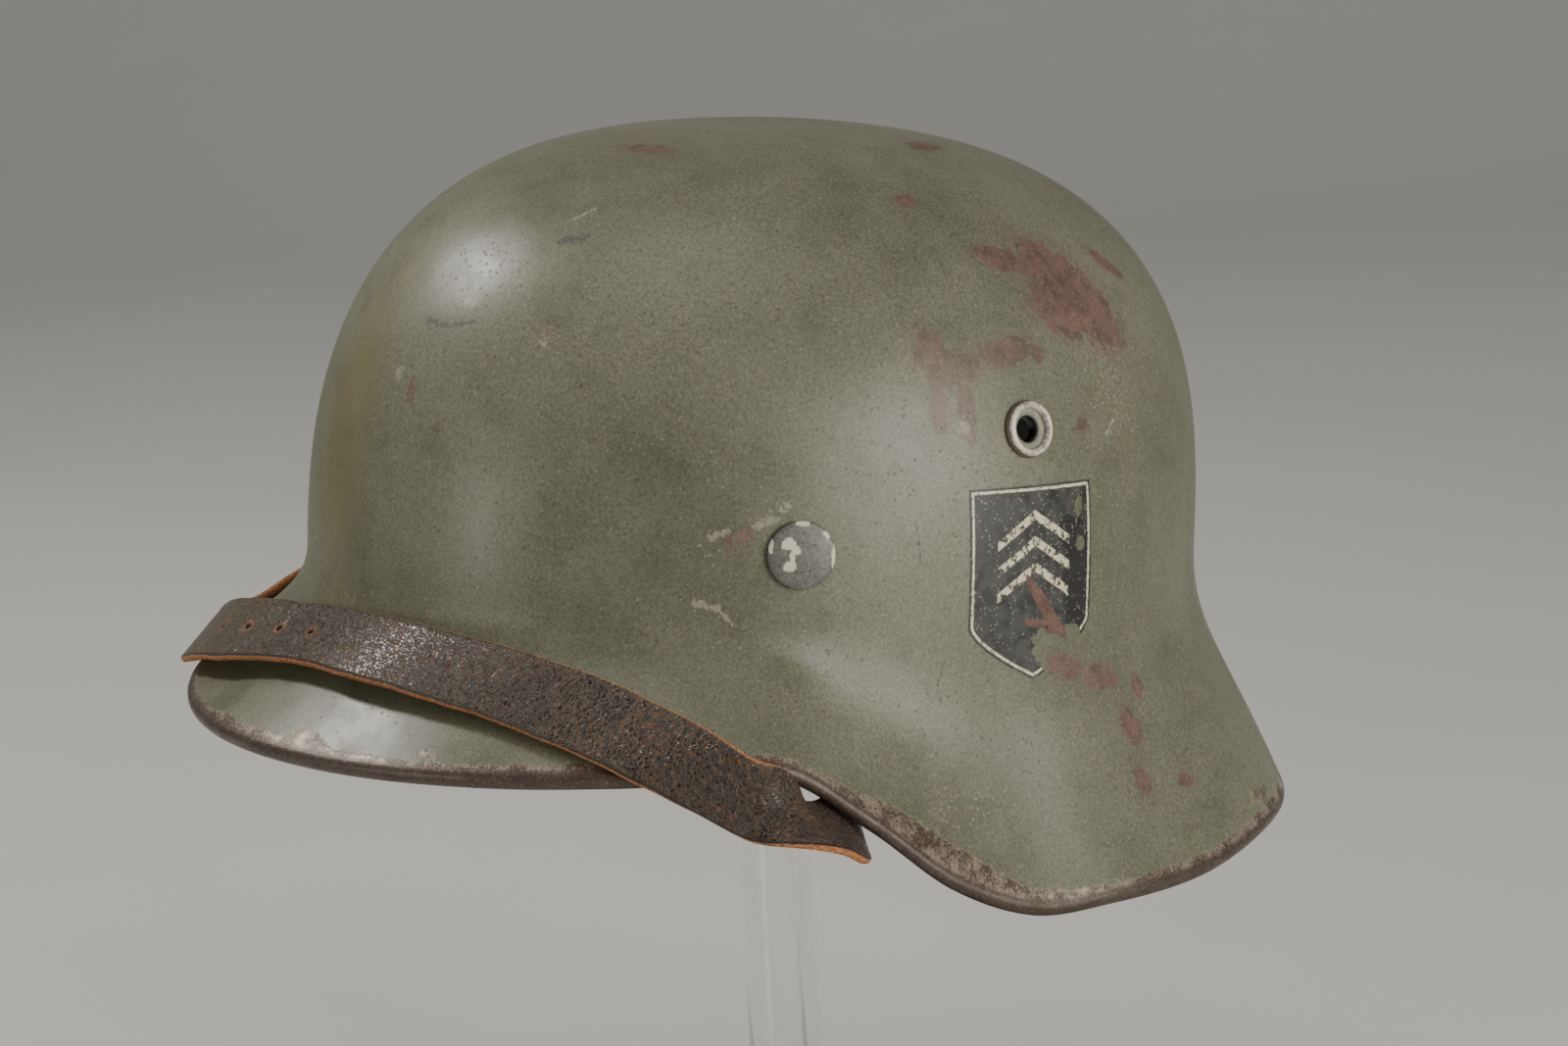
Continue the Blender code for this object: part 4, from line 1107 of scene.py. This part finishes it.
def paintedShell(groups):
    # aged paint, then stain, rust, scuffs and marks, bare steel at the rim, and painted shade on the
    # inside
    made, tree, shader = newFinish("wornHelmetPaint")
    colors = shellPaint
    vector = addNode(tree, "TexCoord").outputs["Object"]
    paint = useGroup(tree, groups["paint"], {"Vector": vector, "Color": colors["color"],
                                             "Faded": colors["faded"], "Dirt": colors["dirt"],
                                             "Dust": colors["dust"], "Dirtiness": 0.42})
    color = paint["Color"]
    clouds = times(tree, noiseOf(tree, vector, 60.0, 4.0), 0.5)
    stain = between(tree, plus(tree, fieldOf(tree, "stain"), clouds), 0.15, 1.0)
    color = blend(tree, times(tree, stain, 0.55), color, colors["stain"])

    rust = useGroup(tree, groups["rust"], {"Vector": vector, "Deep": colors["rustDeep"],
                                           "Main": colors["rustMain"], "Pale": colors["rustPale"]})
    grainy = noiseOf(tree, vector, 1500.0, 4.0, 0.75)

    def rustMaskOf(name, strength):
        # a torn patch, speckled inside, with flecks scattered past its border
        field = plus(tree, fieldOf(tree, name), 0.06)
        torn = tornMask(tree, groups["ragged"], vector, field, 380.0, 1.5, 0.10)
        wide = tornMask(tree, groups["ragged"], vector, plus(tree, field, 0.42), 300.0, 1.5, 0.10)
        inner = times(tree, torn, between(tree, grainy, 0.62, 0.50, 0.55, 1.0))
        outer = times(tree, wide, between(tree, grainy, 0.50, 0.55, 0.0, 0.75))
        return times(tree, calc(tree, "MAXIMUM", inner, outer), strength)

    rustMask = rustMaskOf("rust", 1.0)
    flecks = speckMask(tree, groups["specks"], vector, 380.0, 0.12, 0.24)
    rustAll = calc(tree, "MAXIMUM", rustMask, rustMaskOf("faint", 0.78))
    rustAll = calc(tree, "MAXIMUM", rustAll, times(tree, flecks, 0.6))
    color = blend(tree, times(tree, rustAll, 0.88), color, rust["Color"])

    scuff = between(tree, fieldOf(tree, "scuff"), -0.2, 0.6)
    cover = times(tree, scuff, 0.34)
    paleFlecks = speckMask(tree, groups["specks"], vector, 1000.0, cover, 0.40)
    darkFlecks = speckMask(tree, groups["specks"], vector, 820.0, cover, 0.44)
    color = blend(tree, times(tree, darkFlecks, 0.55), color, colors["steelRust"])
    color = blend(tree, times(tree, paleFlecks, 0.40), color, colors["dust"])

    ragged = noiseOf(tree, vector, 900.0, 4.0, 0.7)
    tones = {"pale": (colors["primer"], 0.48), "rust": (colors["rustMain"], 0.70),
             "dark": (colors["darkScratch"], 0.70)}
    for kind, (tone, strength) in tones.items():
        total = None
        for mark in [m for m in shellMarks if m["kind"] == kind]:
            turns, heights = np.array([mark["from"], mark["to"]]).T
            start, end = toWorld(surfaceAt(turns, heights / 1000))
            mask = useGroup(tree, groups["stroke"], {
                "Vector": vector, "Start": tuple(start), "End": tuple(end),
                "Width": mark["width"] / 1000, "Ragged": ragged})["Mask"]
            total = mask if total is None else calc(tree, "MAXIMUM", total, mask)
        color = blend(tree, times(tree, total, strength), color, tone)

    steel = useGroup(tree, groups["steel"], {
        "Vector": vector, "Dark": colors["steelDark"], "Rubbed": colors["steelRubbed"],
        "Rust": colors["steelRust"], "Rubbing": 0.70})
    edgeField = fieldOf(tree, "edge")
    bare = tornMask(tree, groups["ragged"], vector, edgeField, 330.0, 1.7, 0.16)
    bare = times(tree, bare, between(tree, grainy, 0.66, 0.50, 0.62, 1.0))
    fringe = tornMask(tree, groups["ragged"], vector, plus(tree, edgeField, 0.12), 210.0, 1.3, 0.05)
    broken = between(tree, noiseOf(tree, vector, 700.0, 4.0, 0.7), 0.50, 0.60)
    color = blend(tree, times(tree, times(tree, fringe, broken), 0.30), color, colors["dust"])
    rolled = between(tree, fieldOf(tree, "rim"), 0.16, 0.0, 0.0, 0.88)
    steelColor = blend(tree, rolled, steel["Color"], colors["steelDark"])
    color = blend(tree, bare, color, steelColor)
    # the inner wall faces the middle of the helmet; it is painted near black as painted shade
    coord = addNode(tree, "TexCoord")
    middle = (0.0, 0.0, 0.16)
    outward = calcVector(tree, "SUBTRACT", coord.outputs["Object"], middle).outputs[0]
    facing = calcVector(tree, "DOT_PRODUCT", outward, coord.outputs["Normal"]).outputs["Value"]
    inner = between(tree, facing, 0.0, -0.02, 0.0, 0.90)
    color = blend(tree, inner, color, colors["inner"])
    plug(tree, shader.inputs["Base Color"], color)
    plug(tree, shader.inputs["Metallic"], times(tree, bare, 0.34))
    rough = plus(tree, paint["Roughness"], times(tree, rustMask, 0.22))
    rough = mixValue(tree, bare, rough, steel["Roughness"])
    plug(tree, shader.inputs["Roughness"], rough)

    waves = noiseOf(tree, vector, 30.0, 2.0, 0.4)
    height = times(tree, paint["Height"], 0.22)
    height = plus(tree, height, times(tree, waves, 1.1))
    height = plus(tree, height, times(tree, times(tree, rust["Height"], rustMask), 0.25))
    height = minus(tree, height, times(tree, bare, 0.25))
    height = plus(tree, height, times(tree, times(tree, steel["Height"], bare), 0.10))
    addBump(tree, shader, height, 0.5, 0.0005)
    return made


def rubbedVent(groups):
    # by distance from the vent's axis: bore painted black as painted shade, painted funnel, rubbed
    # ring, worn outer edge
    made, tree, shader = newFinish("rubbedVentSteel")
    vector = addNode(tree, "TexCoord").outputs["Object"]
    steel = useGroup(tree, groups["steel"], {
        "Vector": vector, "Dark": (0.34, 0.31, 0.25), "Rubbed": (0.76, 0.70, 0.59),
        "Rust": (0.16, 0.10, 0.07), "Rubbing": 0.80})
    way = addNode(tree, "UVMap", {"uv_map": "faceWay"}).outputs[0]
    radius = calcVector(tree, "LENGTH", way).outputs["Value"]
    funnel = between(tree, radius, 0.0050, 0.0042)
    paint = useGroup(tree, groups["paint"], {
        "Vector": vector, "Color": (0.19, 0.20, 0.15), "Faded": (0.26, 0.26, 0.20),
        "Dirt": (0.08, 0.06, 0.04), "Dust": (0.4, 0.38, 0.3), "Dirtiness": 0.4})
    color = blend(tree, funnel, steel["Color"], paint["Color"])
    # the bore and the funnel's foot are painted near black: painted shade in the hole
    boreShade = between(tree, radius, 0.0036, 0.0030)
    paintedBoreShade = (0.006, 0.005, 0.004)
    color = blend(tree, boreShade, color, paintedBoreShade)
    rim = between(tree, radius, 0.0058, 0.0068)
    worn = tornMask(tree, groups["ragged"], vector, minus(tree, rim, 0.75), 700.0, 1.2, 0.1)
    wornBrown = (0.10, 0.065, 0.045)
    color = blend(tree, times(tree, worn, 0.85), color, wornBrown)
    plug(tree, shader.inputs["Base Color"], color)
    plug(tree, shader.inputs["Metallic"], times(tree, minus(tree, 1.0, funnel), 0.25))
    rough = between(tree, noiseOf(tree, vector, 900.0), 0.3, 0.7, 0.32, 0.5)
    plug(tree, shader.inputs["Roughness"], rough)
    addBump(tree, shader, steel["Height"], 0.5, 0.00012)
    return made


def flakedRivet(groups):
    # dark aged paint, and cream primer where it has flaked
    made, tree, shader = newFinish("flakedRivetPaint")
    vector = addNode(tree, "TexCoord").outputs["Object"]
    paint = useGroup(tree, groups["paint"], {
        "Vector": vector, "Color": (0.100, 0.100, 0.085), "Faded": (0.165, 0.163, 0.140),
        "Dirt": (0.05, 0.045, 0.04), "Dust": (0.34, 0.34, 0.31), "Dirtiness": 0.9})
    flake = tornMask(tree, groups["ragged"], vector, fieldOf(tree, "flake"), 620.0, 2.3, 0.04)
    creamPrimer = (0.62, 0.59, 0.46)
    color = blend(tree, flake, paint["Color"], creamPrimer)
    plug(tree, shader.inputs["Base Color"], color)
    plug(tree, shader.inputs["Metallic"], times(tree, minus(tree, 1.0, flake), 0.30))
    plug(tree, shader.inputs["Roughness"], plus(tree, paint["Roughness"], 0.08))
    height = plus(tree, times(tree, paint["Height"], 0.5), times(tree, flake, 0.4))
    addBump(tree, shader, height, 0.6, 0.0002)
    return made


shieldPaint = {
    "black": (0.012, 0.012, 0.012),
    "dusty": (0.050, 0.050, 0.045),
    "cream": (0.70, 0.66, 0.46),
    "lineFrom": 0.55,        # mm from the outline to the cream line
    "lineTo": 1.35,
    "chevronTop": 15.0,      # mm from the top edge to the first chevron's point
    "chevronPitch": 6.2,
    "chevronWidth": 2.3,
    "chevronSlope": 0.62,
    "chevronHalf": 11.0,
}


def shieldFinish(groups):
    # black field, cream line and chevrons, then rust, and clear where the film is lost
    made, tree, shader = newFinish("wornShieldPaint")
    look = shieldPaint
    vector = addNode(tree, "TexCoord").outputs["Object"]
    shieldWay = addNode(tree, "UVMap", {"uv_map": "shieldWay"}).outputs[0]
    way = addNode(tree, "SeparateXYZ", None, {0: shieldWay})
    x = way.outputs[0]
    y = way.outputs[1]
    inset = fieldOf(tree, "inset")
    wobble = times(tree, minus(tree, noiseOf(tree, vector, 500.0, 3.0), 0.5), 0.35)
    rimWay = plus(tree, inset, wobble)
    line = times(tree, between(tree, rimWay, look["lineFrom"], look["lineFrom"] + 0.12),
                 between(tree, rimWay, look["lineTo"], look["lineTo"] - 0.12))

    # three plain chevrons: bands of y - slope |x| within the shield's middle
    folded = plus(tree, y, times(tree, calc(tree, "ABSOLUTE", x), -look["chevronSlope"]))
    shifted = minus(tree, folded, look["chevronTop"] - 1.5 * look["chevronPitch"])
    turn = calc(tree, "FRACT", calc(tree, "DIVIDE", plus(tree, shifted, wobble), look["chevronPitch"]))
    share = look["chevronWidth"] / look["chevronPitch"]
    band = times(tree, between(tree, turn, 0.0, 0.04), between(tree, turn, share + 0.04, share))
    rows = times(tree, calc(tree, "GREATER_THAN", shifted, 0.0),
                 calc(tree, "LESS_THAN", shifted, 3 * look["chevronPitch"]))
    sides = calc(tree, "LESS_THAN", calc(tree, "ABSOLUTE", x), look["chevronHalf"])
    chevron = times(tree, times(tree, band, rows), sides)
    rubbed = between(tree, noiseOf(tree, vector, 620.0, 6.0, 0.75), 0.44, 0.52)
    chevron = times(tree, chevron, rubbed)

    gone = tornMask(tree, groups["ragged"], vector, fieldOf(tree, "lost"), 330.0, 1.1, 0.04)
    rusty = tornMask(tree, groups["ragged"], vector, fieldOf(tree, "rusty"), 420.0, 1.2, 0.05)
    glossy = tornMask(tree, groups["ragged"], vector, fieldOf(tree, "black"), 300.0, 1.0, 0.06)
    dusty = between(tree, noiseOf(tree, vector, 260.0, 6.0, 0.7), 0.36, 0.62, 0.25, 1.0)
    ground = blend(tree, times(tree, dusty, minus(tree, 1.0, glossy)), look["black"], look["dusty"])
    specks = speckMask(tree, groups["specks"], vector, 1500.0, 0.34, 0.40)
    paleSpeck = (0.36, 0.35, 0.28)
    ground = blend(tree, times(tree, specks, 0.55), ground, paleSpeck)
    chips = between(tree, noiseOf(tree, vector, 1150.0, 4.0, 0.75), 0.40, 0.45)
    outline = times(tree, line, chips)
    color = blend(tree, calc(tree, "MAXIMUM", outline, chevron), ground, look["cream"])
    rust = useGroup(tree, groups["rust"], {"Vector": vector, "Deep": (0.085, 0.045, 0.035),
                                           "Main": (0.15, 0.075, 0.055), "Pale": (0.24, 0.16, 0.12)})
    color = blend(tree, rusty, color, rust["Color"])
    plug(tree, shader.inputs["Base Color"], color)
    rough = between(tree, dusty, 0.0, 1.0, 0.26, 0.50)
    plug(tree, shader.inputs["Roughness"], plus(tree, rough, times(tree, rusty, 0.25)))
    plug(tree, shader.inputs["Alpha"], minus(tree, 1.0, gone))
    addBump(tree, shader, plus(tree, outline, noiseOf(tree, vector, 700.0)), 0.35, 0.0001)
    return made


strapLeather = {
    "black": (0.014, 0.012, 0.011),
    "grey": (0.060, 0.057, 0.050),
    "crack": (0.120, 0.080, 0.050),
    "tan": (0.270, 0.105, 0.038),
    "raw": (0.600, 0.250, 0.095),
    "rawDark": (0.300, 0.100, 0.034),
    "brownEnd": (0.105, 0.080, 0.052),
}


def crackedLeather(groups):
    # black grain split by small and large cracks, tan where rubbed, raw along its edges
    made, tree, shader = newFinish("crackedStrapLeather")
    look = strapLeather
    way = addNode(tree, "UVMap", {"uv_map": "strapWay"}).outputs[0]
    jitter = addNode(tree, "TexNoise", None, {"Vector": way, "Scale": 900.0, "Detail": 2.0})
    jitter = calcVector(tree, "MULTIPLY", jitter.outputs["Color"], (0.0006, 0.0006, 0.0)).outputs[0]
    warp = calcVector(tree, "ADD", way, jitter).outputs[0]
    small = cellsOf(tree, warp, 1150.0, "DISTANCE_TO_EDGE").outputs["Distance"]
    large = cellsOf(tree, warp, 430.0, "DISTANCE_TO_EDGE").outputs["Distance"]
    tone = addNode(tree, "SeparateColor", None, {0: cellsOf(tree, warp, 1150.0).outputs["Color"]})
    zone = noiseOf(tree, way, 42.0, 4.0, 0.6)
    patchy = noiseOf(tree, way, 300.0, 5.0, 0.7)
    smallCrack = between(tree, small, 0.16, 0.03)
    largeCrack = between(tree, large, 0.07, 0.01)
    greyness = between(tree, tone.outputs[0], 0.3, 1.0, 0.0, 0.75)
    color = blend(tree, greyness, look["black"], look["grey"])
    color = blend(tree, between(tree, zone, 0.45, 0.68, 0.0, 0.55), color, look["grey"])
    color = blend(tree, times(tree, smallCrack, 0.70), color, look["crack"])
    tanCrack = times(tree, largeCrack, between(tree, zone, 0.35, 0.6, 0.05, 0.38))
    color = blend(tree, tanCrack, color, look["tan"])
    rubbed = times(tree, between(tree, patchy, 0.58, 0.70), between(tree, zone, 0.42, 0.58))
    color = blend(tree, times(tree, rubbed, 0.75), color, look["tan"])
    station = fieldOf(tree, "station")
    endMask = between(tree, station, 0.04, -0.06, 0.0, 0.65)
    color = blend(tree, endMask, color, look["brownEnd"])
    halo = between(tree, plus(tree, fieldOf(tree, "halo"), times(tree, patchy, 0.5)), 0.62, 1.05)
    color = blend(tree, times(tree, halo, 0.85), color, look["rawDark"])
    fibre = noiseOf(tree, way, 1400.0, 5.0, 0.7)
    rawColor = blend(tree, between(tree, fibre, 0.38, 0.62), look["rawDark"], look["raw"])
    rawField = minus(tree, fieldOf(tree, "raw"), 0.5)
    raw = tornMask(tree, groups["ragged"], way, rawField, 900.0, 1.2, 0.12)
    color = blend(tree, raw, color, rawColor)
    plug(tree, shader.inputs["Base Color"], color)
    rough = between(tree, tone.outputs[1], 0.0, 1.0, 0.18, 0.46)
    rough = plus(tree, rough, times(tree, smallCrack, 0.25))
    plug(tree, shader.inputs["Roughness"], mixValue(tree, raw, rough, 0.88))
    height = minus(tree, times(tree, tone.outputs[2], 0.5), smallCrack)
    height = minus(tree, height, times(tree, largeCrack, 0.8))
    height = plus(tree, height, times(tree, times(tree, fibre, raw), 0.8))
    addBump(tree, shader, height, 0.9, 0.00018)
    return made


def dullZinc(groups):
    # dull plate with a little rust
    made, tree, shader = newFinish("dullHangerPlate")
    vector = addNode(tree, "TexCoord").outputs["Object"]
    steel = useGroup(tree, groups["steel"], {
        "Vector": vector, "Dark": (0.20, 0.20, 0.19), "Rubbed": (0.45, 0.45, 0.43),
        "Rust": (0.15, 0.09, 0.06), "Rubbing": 0.6})
    plug(tree, shader.inputs["Base Color"], steel["Color"])
    shader.inputs["Metallic"].default_value = 0.8
    plug(tree, shader.inputs["Roughness"], steel["Roughness"])
    addBump(tree, shader, steel["Height"], 0.4, 0.0001)
    return made


def clearAcrylic():
    # clear, but rougher and greyer where fine scratches gather
    made, tree, shader = newFinish("clearStandAcrylic")
    vector = addNode(tree, "TexCoord").outputs["Object"]
    shader.inputs["Transmission Weight"].default_value = 1.0
    shader.inputs["IOR"].default_value = 1.49
    rubbed = between(tree, noiseOf(tree, vector, 700.0, 6.0, 0.75), 0.60, 0.72, 0.0, 1.0)
    zone = between(tree, noiseOf(tree, vector, 20.0, 3.0), 0.45, 0.7)
    scratches = times(tree, rubbed, zone)
    plug(tree, shader.inputs["Roughness"], between(tree, scratches, 0.0, 1.0, 0.015, 0.16))
    clear = (0.975, 0.985, 0.98)
    scratched = (0.90, 0.92, 0.91)
    color = blend(tree, scratches, clear, scratched)
    plug(tree, shader.inputs["Base Color"], color)
    addBump(tree, shader, scratches, 0.10, 0.00005)
    return made


# Floor, light and camera

studio = {
    "floorColor": (0.66, 0.655, 0.64),
    "lightColor": (1.0, 0.975, 0.92),
    "skyColor": (0.82, 0.80, 0.76),
    "skyStrength": 0.25,
    "lights": [
        # azimuth 0 is in front of the visor and grows towards the wearer's left
        {"name": "keyBox", "azimuth": -44, "elevation": 45, "distance": 1.25,
         "size": (0.17, 0.13), "watts": 9},
        {"name": "sideBox", "azimuth": 112, "elevation": 10, "distance": 1.5,
         "size": (1.0, 0.8), "watts": 18},
        {"name": "frontBox", "azimuth": 8, "elevation": 2, "distance": 1.9,
         "size": (0.45, 0.45), "watts": 5},
        {"name": "topBox", "azimuth": 60, "elevation": 75, "distance": 1.6,
         "size": (1.0, 1.0), "watts": 4},
    ],
}

photoView = {
    "azimuth": 64.643,
    "elevation": 12.844,
    "roll": -2.70,
    "right": 0.0085068,      # metres from the helmet's origin to the middle of the picture
    "up": 0.0034276,
    "distance": 1.150,
    "pixelsPerMetre": 4052.998,
    "pictureWidth": 1600,
    "sensor": 36.0,
}


def makeFloor():
    # a level floor that curves up at the back: y and z follow a quarter circle, then go straight
    material, tree, shader = newFinish("paleFloor")
    vector = addNode(tree, "TexCoord").outputs["Object"]
    shade = between(tree, noiseOf(tree, vector, 3.0, 4.0), 0.2, 0.8, 0.97, 1.03)
    grey = greyOf(tree, shade)
    plug(tree, shader.inputs["Base Color"], blend(tree, 1.0, studio["floorColor"], grey, "MULTIPLY"))
    shader.inputs["Roughness"].default_value = 0.85
    angle = math.radians(photoView["azimuth"])
    away = np.array([-math.sin(angle), math.cos(angle), 0.0])
    side = np.array([math.cos(angle), math.sin(angle), 0.0])
    t = np.linspace(0, math.pi / 2, 24)
    out = np.concatenate([[-4.0], 1.6 + 1.2 * np.sin(t), [2.8]])
    up = np.concatenate([[0.0], 1.2 * (1 - np.cos(t)), [4.0]])
    across = np.array([-5.0, 5.0])
    grid = (out[:, None, None] * away + across[None, :, None] * side
            + up[:, None, None] * np.array([0.0, 0.0, 1.0]))
    floor = meshFrom("paleFloor", grid, gridFaces(len(out), 2, around=False))
    floor.data.materials.append(material)


def makeLights():
    # each soft box stands off from the helmet by its azimuth, elevation and distance
    world = bpy.data.worlds.new("studioAir")
    bpy.context.scene.world = world
    world.use_nodes = True
    back = world.node_tree.nodes["Background"]
    back.inputs[0].default_value = (*studio["skyColor"], 1.0)
    back.inputs[1].default_value = studio["skyStrength"]
    middle = Vector((0.0, 0.0, 0.22))
    for row in studio["lights"]:
        light = bpy.data.lights.new(row["name"], "AREA")
        light.shape = "RECTANGLE"
        light.size = row["size"][0]
        light.size_y = row["size"][1]
        light.energy = row["watts"]
        light.color = studio["lightColor"]
        lamp = bpy.data.objects.new(row["name"], light)
        bpy.context.scene.collection.objects.link(lamp)
        a = math.radians(row["azimuth"])
        e = math.radians(row["elevation"])
        way = Vector((math.sin(a) * math.cos(e), -math.cos(a) * math.cos(e), math.sin(e)))
        lamp.location = middle + way * row["distance"]
        lamp.rotation_euler = way.to_track_quat("Z", "Y").to_euler()


def makeCamera():
    # back along the view from the aim point, with the picture rolled by a few degrees
    view = photoView
    a = math.radians(view["azimuth"])
    e = math.radians(view["elevation"])
    r = math.radians(view["roll"])
    back = Vector((math.sin(a) * math.cos(e), -math.cos(a) * math.cos(e), math.sin(e)))
    level = Vector((math.cos(a), math.sin(a), 0.0))
    upright = back.cross(level)
    right = level * math.cos(r) + upright * math.sin(r)
    up = upright * math.cos(r) - level * math.sin(r)
    aim = Vector(helmetPlace["origin"]) + right * view["right"] + up * view["up"]
    lens = bpy.data.cameras.new("photoCamera")
    lens.sensor_width = view["sensor"]
    lens.lens = view["pixelsPerMetre"] * view["distance"] * view["sensor"] / view["pictureWidth"]
    camera = bpy.data.objects.new("photoCamera", lens)
    bpy.context.scene.collection.objects.link(camera)
    turn = Matrix((right, up, back)).transposed().to_4x4()
    camera.matrix_world = Matrix.Translation(aim + back * view["distance"]) @ turn
    bpy.context.scene.camera = camera


# Put together

def dress(piece, finish, slot, *replaced):
    piece.data.materials.clear()
    piece.data.materials.append(finish)
    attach(piece, "root")
    if replaced:
        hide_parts(*replaced)


makeFloor()
makeLights()
makeCamera()
print("studio ready")

specks = paintSpecks()
groups = {"specks": specks, "ragged": raggedMask(), "paint": agedPaint(specks), "steel": wornSteel(),
          "rust": rustCoat(), "stroke": strokeMark()}
print("shared effects ready")

shell = makeShell()
vents = {}
holes = []
for side, sign in (("left", 1.0), ("right", -1.0)):
    vents[side], hole = makeVent(side, sign)
    holes.append(hole)
cutHoles(shell, holes)
dress(shell, paintedShell(groups), "steel_shell_paint", "shell")
print("shell ready:", len(shell.data.polygons), "faces")

ventFinish = rubbedVent(groups)
for side, vent in vents.items():
    dress(vent, ventFinish, "vent_steel", f"vent_bushing_{side}")
rivetFinish = flakedRivet(groups)
for place in rivetSizes["places"]:
    dress(makeRivet(place), rivetFinish, "rivet_paint", f"rivet_{place['side']}")
zinc = dullZinc(groups)
for side in ("left", "right"):
    hanger = nodes[f"strap_hanger_{side}"]
    hanger.data.materials.clear()
    hanger.data.materials.append(zinc)
print("fittings ready")

dress(makeShield(), shieldFinish(groups), "steel_shell_paint")
print("shield ready")

strap, strapHoles = makeStrap()
cutHoles(strap, strapHoles)
dress(strap, crackedLeather(groups), "strap_leather", "chin_strap")
print("strap ready:", len(strap.data.polygons), "faces")

acrylic = clearAcrylic()
for piece, node in zip(makeStand(), ("stand_base", "stand_post", "stand_cap")):
    dress(piece, acrylic, "clear_acrylic", node)
print("stand ready")
